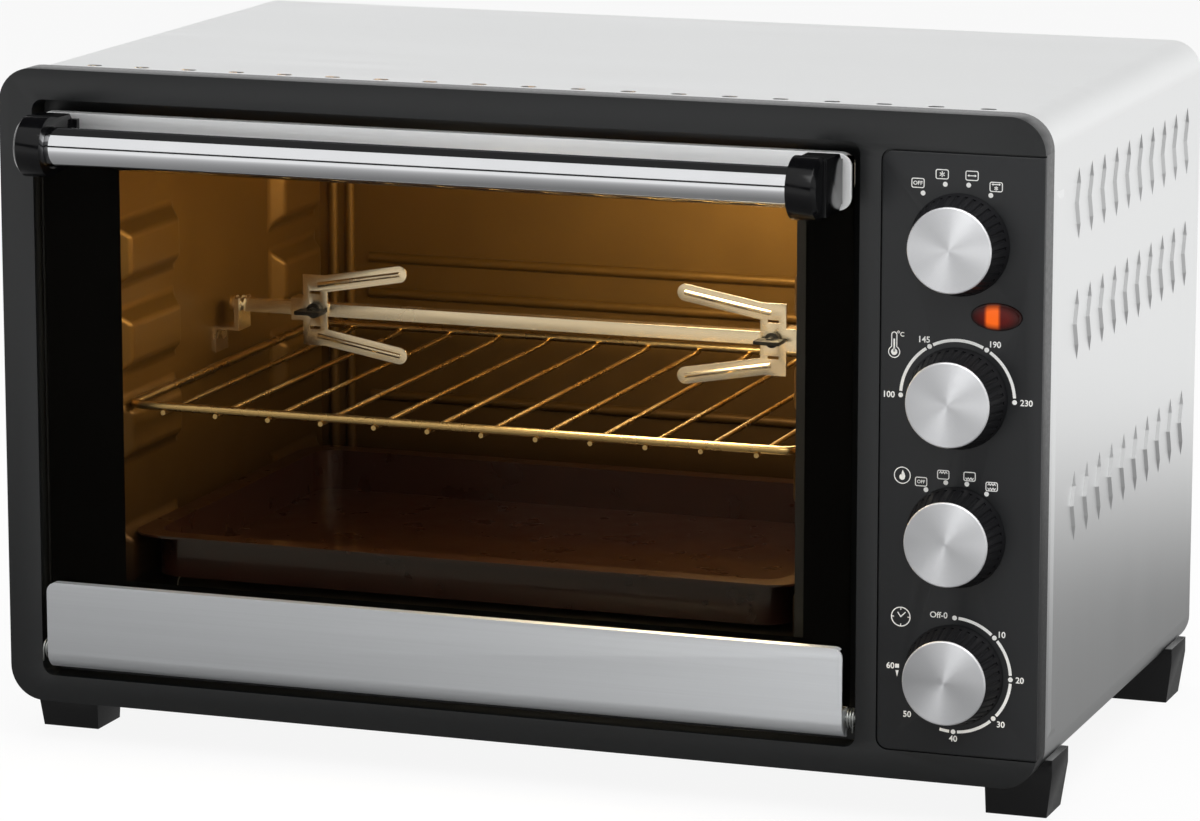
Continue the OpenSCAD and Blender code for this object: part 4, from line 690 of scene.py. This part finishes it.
# The fan dial's signs stand a little left of its axis
FAN_PRINT_LEFT = 1.6 * MM
FAN_DOTS_MM = ((-16.8, 24.2), (-5.8, 29.0), (5.8, 29.2), (16.8, 24.8))
FAN_SIGNS_MM = ((-19.4, 29.0), (-7.4, 33.8), (7.4, 33.8), (19.4, 29.0))
FAN_SIGN_W = 6.1 * MM
FAN_SIGN_H = 4.4 * MM
FAN_OFF_H = 2.0 * MM
FAN_STAR_R = 1.4 * MM
SMALL_STAR_R = 1.0 * MM
SPIT_ARROW = 2.3 * MM
ARROW_UP = 1.2 * MM
STAR_DOWN = 0.7 * MM


def fan_dial(bm):
    """Off, fan, spit, and both."""
    x, z = knob_axis("fan_knob")
    x -= FAN_PRINT_LEFT
    for spot in placed(x, z, FAN_DOTS_MM):
        dot(bm, *spot)
    off, fan, spit, both = placed(x, z, FAN_SIGNS_MM)
    for sign in (off, fan, spit, both):
        boxed(bm, *sign, FAN_SIGN_W, FAN_SIGN_H)
    letters(bm, "OFF", *off, FAN_OFF_H)
    star(bm, *fan, FAN_STAR_R)
    arrow(bm, *spit, SPIT_ARROW)
    arrow(bm, both[0], both[1] + ARROW_UP, SPIT_ARROW)
    star(bm, both[0], both[1] - STAR_DOWN, SMALL_STAR_R)


TEMPERATURE_MARKS = [-90, -30, 30, 90]
TEMPERATURE_FIGURES_MM = (("100", -34.2, 0.0), ("145", -16.8, 28.0), ("190", 18.6, 27.6), ("230", 34.4, 0.0))
BULB_MM = (-32.0, 21.0)
BULB_R = 2.8 * MM
BULB_STEPS = 24
STEM_R = 1.3 * MM
STEM_RISE = 8.4 * MM
STEM_STEPS = 8
MERCURY_R = 1.6 * MM
MERCURY_RISE = 6.4 * MM
MERCURY_W = 0.8 * MM
DEGREE_MM = (-29.9, 30.8)
DEGREE_R = 0.5 * MM
DEGREE_STEPS = 12
DEGREE_LINE = 0.3 * MM
CELSIUS_MM = (-28.0, 29.8)
CELSIUS_H = 2.2 * MM


def temperature_dial(bm):
    """An arc with its figures, and a thermometer."""
    x, z = knob_axis("temperature_knob")
    arc_with_dots(bm, x, z, TEMPERATURE_MARKS, TEMPERATURE_MARKS[-1])
    for words, dx, dz in TEMPERATURE_FIGURES_MM:
        letters(bm, words, x + dx * MM, z + dz * MM, FIGURE_H)
    (tx, tz), degree, celsius = placed(x, z, (BULB_MM, DEGREE_MM, CELSIUS_MM))
    spread = math.degrees(math.asin(STEM_R / BULB_R))
    outline = ring_points(tx, tz, BULB_R, spread, 360 - spread, BULB_STEPS)
    outline += ring_points(tx, tz + STEM_RISE, STEM_R, -90, 90, STEM_STEPS)
    stroke(bm, outline, THIN, closed=True)
    fill(bm, whole_ring(tx, tz, MERCURY_R, BULB_STEPS))
    stroke(bm, [(tx, tz), (tx, tz + MERCURY_RISE)], MERCURY_W)
    stroke(bm, whole_ring(*degree, DEGREE_R, DEGREE_STEPS), DEGREE_LINE, closed=True)
    letters(bm, "C", *celsius, CELSIUS_H)


FUNCTION_DOTS_MM = ((-15.2, 22.6), (-5.3, 26.8), (5.3, 26.8), (15.2, 22.6))
FUNCTION_SIGNS_MM = ((-17.7, 26.4), (-6.6, 30.6), (6.6, 30.6), (17.7, 26.4))
FUNCTION_SIGN_W = 5.7 * MM
FUNCTION_SIGN_H = 4.2 * MM
FUNCTION_OFF_H = 1.7 * MM
HEATER_UP = 1.1 * MM
HEATER_W = 4.0 * MM
HEATER_H = 0.9 * MM
FLAME_MM = (-27.2, 28.9)
FLAME_RING_R = 4.0 * MM
RING_STEPS = 48
FLAME_OUTLINE_MM = ((0.2, 2.7), (1.1, 1.0), (1.5, -0.4), (1.2, -1.6), (0.4, -2.3), (-0.5, -2.3),
                    (-1.3, -1.6), (-1.5, -0.5), (-0.9, 0.6), (-0.5, 0.1), (-0.3, 1.4))


def function_dial(bm):
    """Off, upper heater, lower heater, and both, with a flame in a ring."""
    x, z = knob_axis("function_knob")
    for spot in placed(x, z, FUNCTION_DOTS_MM):
        dot(bm, *spot)
    signs = placed(x, z, FUNCTION_SIGNS_MM)
    for sign in signs:
        boxed(bm, *sign, FUNCTION_SIGN_W, FUNCTION_SIGN_H)
    letters(bm, "OFF", *signs[0], FUNCTION_OFF_H)
    for (sx, sz), heaters in zip(signs[1:], ((1,), (-1,), (1, -1))):
        for s in heaters:
            heater_line(bm, sx, sz + s * HEATER_UP, HEATER_W, HEATER_H, s)
    flame = placed(x, z, (FLAME_MM,))[0]
    stroke(bm, whole_ring(*flame, FLAME_RING_R, RING_STEPS), THIN, closed=True)
    fill(bm, placed(*flame, FLAME_OUTLINE_MM))


TIMER_MARKS = [0, 45, 90, 135, 180]
TIMER_ARC_END = 194
TIMER_FIGURES_MM = (("Off-0", -8.0, 29.4), ("10", 24.0, 22.0), ("20", 33.2, 0.0), ("30", 24.0, -22.8),
                    ("40", 0.0, -31.9), ("50", -23.4, -21.6), ("60", -32.2, 2.2))
START_MARK_MM = (-28.8, 2.2)
START_BLOCK_MM = ((-1.0, -1.0), (1.0, -1.0), (1.0, 1.0), (-1.0, 1.0))
START_POINTER_MM = ((-0.8, -2.2), (0.8, -2.2), (0.0, -5.5))
CLOCK_MM = (-27.2, 27.0)
CLOCK_R = 4.7 * MM
CLOCK_LINE = 0.5 * MM
HOUR_IN = 3.4 * MM
HOUR_OUT = 4.6 * MM
CLOCK_HANDS_MM = ((-1.6, 2.2), (0.0, 0.0), (2.4, 2.4))


def timer_dial(bm):
    """An arc with its figures, a start mark, and a clock."""
    x, z = knob_axis("timer_knob")
    arc_with_dots(bm, x, z, TIMER_MARKS, TIMER_ARC_END)
    for words, dx, dz in TIMER_FIGURES_MM:
        letters(bm, words, x + dx * MM, z + dz * MM, FIGURE_H)
    start, clock = placed(x, z, (START_MARK_MM, CLOCK_MM))
    fill(bm, placed(*start, START_BLOCK_MM))
    fill(bm, placed(*start, START_POINTER_MM))
    stroke(bm, whole_ring(*clock, CLOCK_R, RING_STEPS), CLOCK_LINE, closed=True)
    for a in (0, 90, 180, 270):
        stroke(bm, [ring_points(*clock, r, a, a, 1)[0] for r in (HOUR_IN, HOUR_OUT)], THIN)
    stroke(bm, placed(*clock, CLOCK_HANDS_MM), CLOCK_LINE)


def raise_ink(bm, y_back, y_front):
    """Gives flat ink its thickness, between two planes across y."""
    faces = list(bm.faces)
    bmesh.ops.translate(bm, verts=bm.verts, vec=(0.0, y_back, 0.0))
    grown = bmesh.ops.extrude_face_region(bm, geom=faces)
    lifted = [v for v in grown["geom"] if isinstance(v, bmesh.types.BMVert)]
    bmesh.ops.translate(bm, verts=lifted, vec=(0.0, y_front - y_back, 0.0))
    bmesh.ops.recalc_face_normals(bm, faces=bm.faces)


def dial_print():
    fascia_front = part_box("control_fascia")[0].y
    bm = bmesh.new()
    for dial in (fan_dial, temperature_dial, function_dial, timer_dial):
        dial(bm)
    raise_ink(bm, fascia_front, fascia_front - INK_T)
    piece("dial_scales_print", bm, white_ink, "cabinet")


WINDOW_LEFT = -210.2 * MM
WINDOW_RIGHT = 154.7 * MM
WINDOW_ABOVE_RAIL = 2.0 * MM
WINDOW_BELOW_RAIL = 1.0 * MM
BORDER_IN = 0.4 * MM
BORDER_OFF_GLASS = 0.02 * MM


def box_corners(x0, x1, z0, z1):
    return [(x0, z0), (x1, z0), (x1, z1), (x0, z1)]


def glass_border():
    """Black ink on the rear of the door glass, round its clear window."""
    low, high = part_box("door_glass")
    window_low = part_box("door_bottom_rail")[1].z + WINDOW_ABOVE_RAIL
    window_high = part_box("door_top_rail")[0].z - WINDOW_BELOW_RAIL
    bm = bmesh.new()
    outer = box_corners(low.x + BORDER_IN, high.x - BORDER_IN, low.z + BORDER_IN, high.z - BORDER_IN)
    inner = box_corners(WINDOW_LEFT, WINDOW_RIGHT, window_low, window_high)
    rims = [[bm.verts.new((x, 0.0, z)) for x, z in ring] for ring in (outer, inner)]
    for i in range(4):
        j = (i + 1) % 4
        bm.faces.new((rims[0][i], rims[0][j], rims[1][j], rims[1][i]))
    raise_ink(bm, high.y + BORDER_OFF_GLASS, high.y + BORDER_OFF_GLASS + INK_T)
    piece("door_glass_border", bm, border_ink, "door")


dial_print()
glass_border()


# Stage, lights and camera


def seen_share(tree):
    """1 for what the camera, a mirror or a glass pane shows, 0 for what lights the object."""
    path = add(tree, "ShaderNodeLightPath", {})
    first = add(tree, "ShaderNodeMath",
                {0: path.outputs["Is Camera Ray"], 1: path.outputs["Is Transmission Ray"]},
                operation="MAXIMUM")
    both = add(tree, "ShaderNodeMath", {0: first.outputs[0], 1: path.outputs["Is Glossy Ray"]},
               operation="MAXIMUM")
    return path, both.outputs[0]


# What metal mirrors of the floor: painted shade, grey by the oven and paler with distance, in front and
# behind
FLOOR_HALF = 6.0
FLOOR_WHITE = 0.9
FLOOR_PAINTED_SHADE = 0.22
AHEAD_NEAR = 0.30
AHEAD_FAR = 1.9
AHEAD_LEVEL = 1.0
BEHIND_NEAR = 0.44
BEHIND_FAR = 1.15
BEHIND_LEVEL = 0.92
AHEAD_Y = -0.2
BEHIND_Y = 0.4


def floor_material():
    """Pale floor that shows as the white background and keeps the shadow."""
    material = bpy.data.materials.new("white_studio_floor")
    material.use_nodes = True
    tree = material.node_tree
    path, seen = seen_share(tree)
    mirrored = path.outputs["Is Glossy Ray"]
    place = add(tree, "ShaderNodeTexCoord", {}).outputs["Object"]
    away = add(tree, "ShaderNodeVectorMath", {0: place}, operation="LENGTH").outputs["Value"]
    depth = add(tree, "ShaderNodeSeparateXYZ", {"Vector": place}).outputs["Y"]
    ahead = add(tree, "ShaderNodeMapRange",
                {"Value": away, "From Min": AHEAD_NEAR, "From Max": AHEAD_FAR,
                 "To Min": FLOOR_PAINTED_SHADE, "To Max": AHEAD_LEVEL})
    behind = add(tree, "ShaderNodeMapRange",
                 {"Value": away, "From Min": BEHIND_NEAR, "From Max": BEHIND_FAR,
                  "To Min": FLOOR_PAINTED_SHADE, "To Max": BEHIND_LEVEL}, interpolation_type="SMOOTHSTEP")
    side = add(tree, "ShaderNodeMapRange", {"Value": depth, "From Min": AHEAD_Y, "From Max": BEHIND_Y})
    # Painted shade in what metal mirrors of the floor, darkest by the oven
    grey = add(tree, "ShaderNodeMix", {0: side.outputs[0], 2: ahead.outputs[0], 3: behind.outputs[0]})
    level = add(tree, "ShaderNodeMix", {0: mirrored, 2: 1.0, 3: grey.outputs[0]})
    white = add(tree, "ShaderNodeMath", {0: seen, 1: FLOOR_WHITE}, operation="MULTIPLY")
    share = add(tree, "ShaderNodeMath", {0: white.outputs[0], 1: mirrored}, operation="MAXIMUM")
    paint = add(tree, "ShaderNodeBsdfDiffuse", {"Color": linear("#f0f0f0")})
    glow = add(tree, "ShaderNodeEmission", {"Color": linear("#ffffff"), "Strength": level.outputs[0]})
    mix = add(tree, "ShaderNodeMixShader", {0: share.outputs[0], 1: paint.outputs[0], 2: glow.outputs[0]})
    tree.links.new(mix.outputs[0], tree.nodes["Material Output"].inputs["Surface"])
    return material


def studio_floor():
    bm = bmesh.new()
    bmesh.ops.create_grid(bm, x_segments=1, y_segments=1, size=FLOOR_HALF)
    mesh = bpy.data.meshes.new("studio_floor")
    bm.to_mesh(mesh)
    bm.free()
    mesh.materials.append(floor_material())
    floor = bpy.data.objects.new("studio_floor", mesh)
    scene.collection.objects.link(floor)


# What metal mirrors of the room. Rises are in degrees, from ahead of the oven over its top.
ROOM_LIGHT = 0.40
CEILING_RISE = 113
CEILING_HALF = 33
DARK_LINE_RISE = 10
DARK_LINE_HALF = 5
DARK_LEVEL = 0.03
LEFT_FULL_X = -0.8
LEFT_START_X = -0.55
LEFT_DIM = 0.75


def studio_world():
    """White all round. Metal mirrors a dark ceiling, a dim left and a dark line above the floor in front."""
    world = bpy.data.worlds.new("white_studio")
    scene.world = world
    world.use_nodes = True
    tree = world.node_tree
    path, seen = seen_share(tree)
    way = add(tree, "ShaderNodeTexCoord", {}).outputs["Generated"]
    parts = add(tree, "ShaderNodeSeparateXYZ", {"Vector": way})
    ahead = add(tree, "ShaderNodeMath", {0: parts.outputs["Y"], 1: -1.0}, operation="MULTIPLY")
    rise = add(tree, "ShaderNodeMath", {0: parts.outputs["Z"], 1: ahead.outputs[0]}, operation="ARCTAN2")
    ceiling = add(tree, "ShaderNodeMath",
                  {0: rise.outputs[0], 1: math.radians(CEILING_RISE), 2: math.radians(CEILING_HALF)},
                  operation="COMPARE")
    line = add(tree, "ShaderNodeMath",
               {0: rise.outputs[0], 1: math.radians(DARK_LINE_RISE), 2: math.radians(DARK_LINE_HALF)},
               operation="COMPARE")
    dark = add(tree, "ShaderNodeMath", {0: ceiling.outputs[0], 1: line.outputs[0]}, operation="MAXIMUM")
    left = add(tree, "ShaderNodeMapRange",
               {"Value": parts.outputs["X"], "From Min": LEFT_FULL_X, "From Max": LEFT_START_X,
                "To Min": LEFT_DIM, "To Max": 0.0})
    front = add(tree, "ShaderNodeMath", {0: ahead.outputs[0], 1: 0.0}, operation="GREATER_THAN")
    dim = add(tree, "ShaderNodeMath", {0: left.outputs[0], 1: front.outputs[0]}, operation="MULTIPLY")
    shade = add(tree, "ShaderNodeMath", {0: dark.outputs[0], 1: dim.outputs[0]}, operation="MAXIMUM")
    mirrored = add(tree, "ShaderNodeMapRange",
                   {"Value": shade.outputs[0], "To Min": 1.0, "To Max": DARK_LEVEL})
    shown = add(tree, "ShaderNodeMix", {0: path.outputs["Is Glossy Ray"], 2: 1.0, 3: mirrored.outputs[0]})
    level = add(tree, "ShaderNodeMix", {0: seen, 2: ROOM_LIGHT, 3: shown.outputs[0]})
    back = tree.nodes["Background"]
    tree.links.new(level.outputs[0], back.inputs["Strength"])
    back.inputs["Color"].default_value = linear("#ffffff")


def softbox(name, place, aim, size, power, colour):
    lamp = bpy.data.lights.new(name, "AREA")
    lamp.shape = "RECTANGLE"
    lamp.size, lamp.size_y = size
    lamp.energy = power
    lamp.color = linear(colour)[:3]
    holder = bpy.data.objects.new(name, lamp)
    holder.location = place
    holder.rotation_euler = (Vector(aim) - Vector(place)).to_track_quat("-Z", "Y").to_euler()
    scene.collection.objects.link(holder)
    return holder


# Where the oven's own light shines from, against the middle of the cavity's ceiling
OVEN_LAMP_RIGHT = 0.06
OVEN_LAMP_AHEAD = 0.03
OVEN_LAMP_DOWN = 0.004


def lights():
    overhead = softbox("overhead_softbox", place=(0.0, 0.1, 1.8), aim=(0.0, 0.0, 0.2),
                       size=(1.8, 1.4), power=18.0, colour="#ffffff")
    overhead.visible_glossy = False
    front = softbox("front_softbox", place=(0.85, -1.15, 1.9), aim=(0.1, -0.1, 0.2),
                    size=(2.8, 1.1), power=32.0, colour="#ffffff")
    front.visible_camera = False
    # A flag keeps the front softbox off the wrap, so that its top isn't bleached when seen from behind
    flagged = bpy.data.collections.new("flagged_off_front_softbox")
    flagged.objects.link(NODES["outer_wrap"])
    front.light_linking.receiver_collection = flagged
    flagged.collection_objects[0].light_linking.link_state = "EXCLUDE"
    low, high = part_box("cavity_top")
    middle = (low + high) / 2
    oven_lamp = softbox("oven_lamp_light",
                        place=(middle.x + OVEN_LAMP_RIGHT, middle.y - OVEN_LAMP_AHEAD,
                               low.z - OVEN_LAMP_DOWN),
                        aim=(middle.x, middle.y, 0.0), size=(0.26, 0.16), power=2.8, colour="#ffeecb")
    oven_lamp.visible_camera = False


SENSOR_W = 36.0
PHOTO_LENS = 161.59
SIGHT_END = 50.0
CAMERA_PLACE = (0.9329, -2.59645, 0.7136)
CAMERA_RIGHT = (0.94094, 0.33859, 0.0)
CAMERA_UP = (-0.06594, 0.18325, 0.98086)
CAMERA_BACK = (0.33211, -0.92292, 0.19475)


def camera():
    """Stands where the photograph was taken, worked out from the frame's corners in it."""
    data = bpy.data.cameras.new("photo_camera")
    data.sensor_width = SENSOR_W
    data.lens = PHOTO_LENS
    data.clip_end = SIGHT_END
    holder = bpy.data.objects.new("photo_camera", data)
    axes = Matrix((CAMERA_RIGHT, CAMERA_UP, CAMERA_BACK)).transposed().to_4x4()
    holder.matrix_world = Matrix.Translation(CAMERA_PLACE) @ axes
    scene.collection.objects.link(holder)
    scene.camera = holder


studio_floor()
studio_world()
lights()
camera()
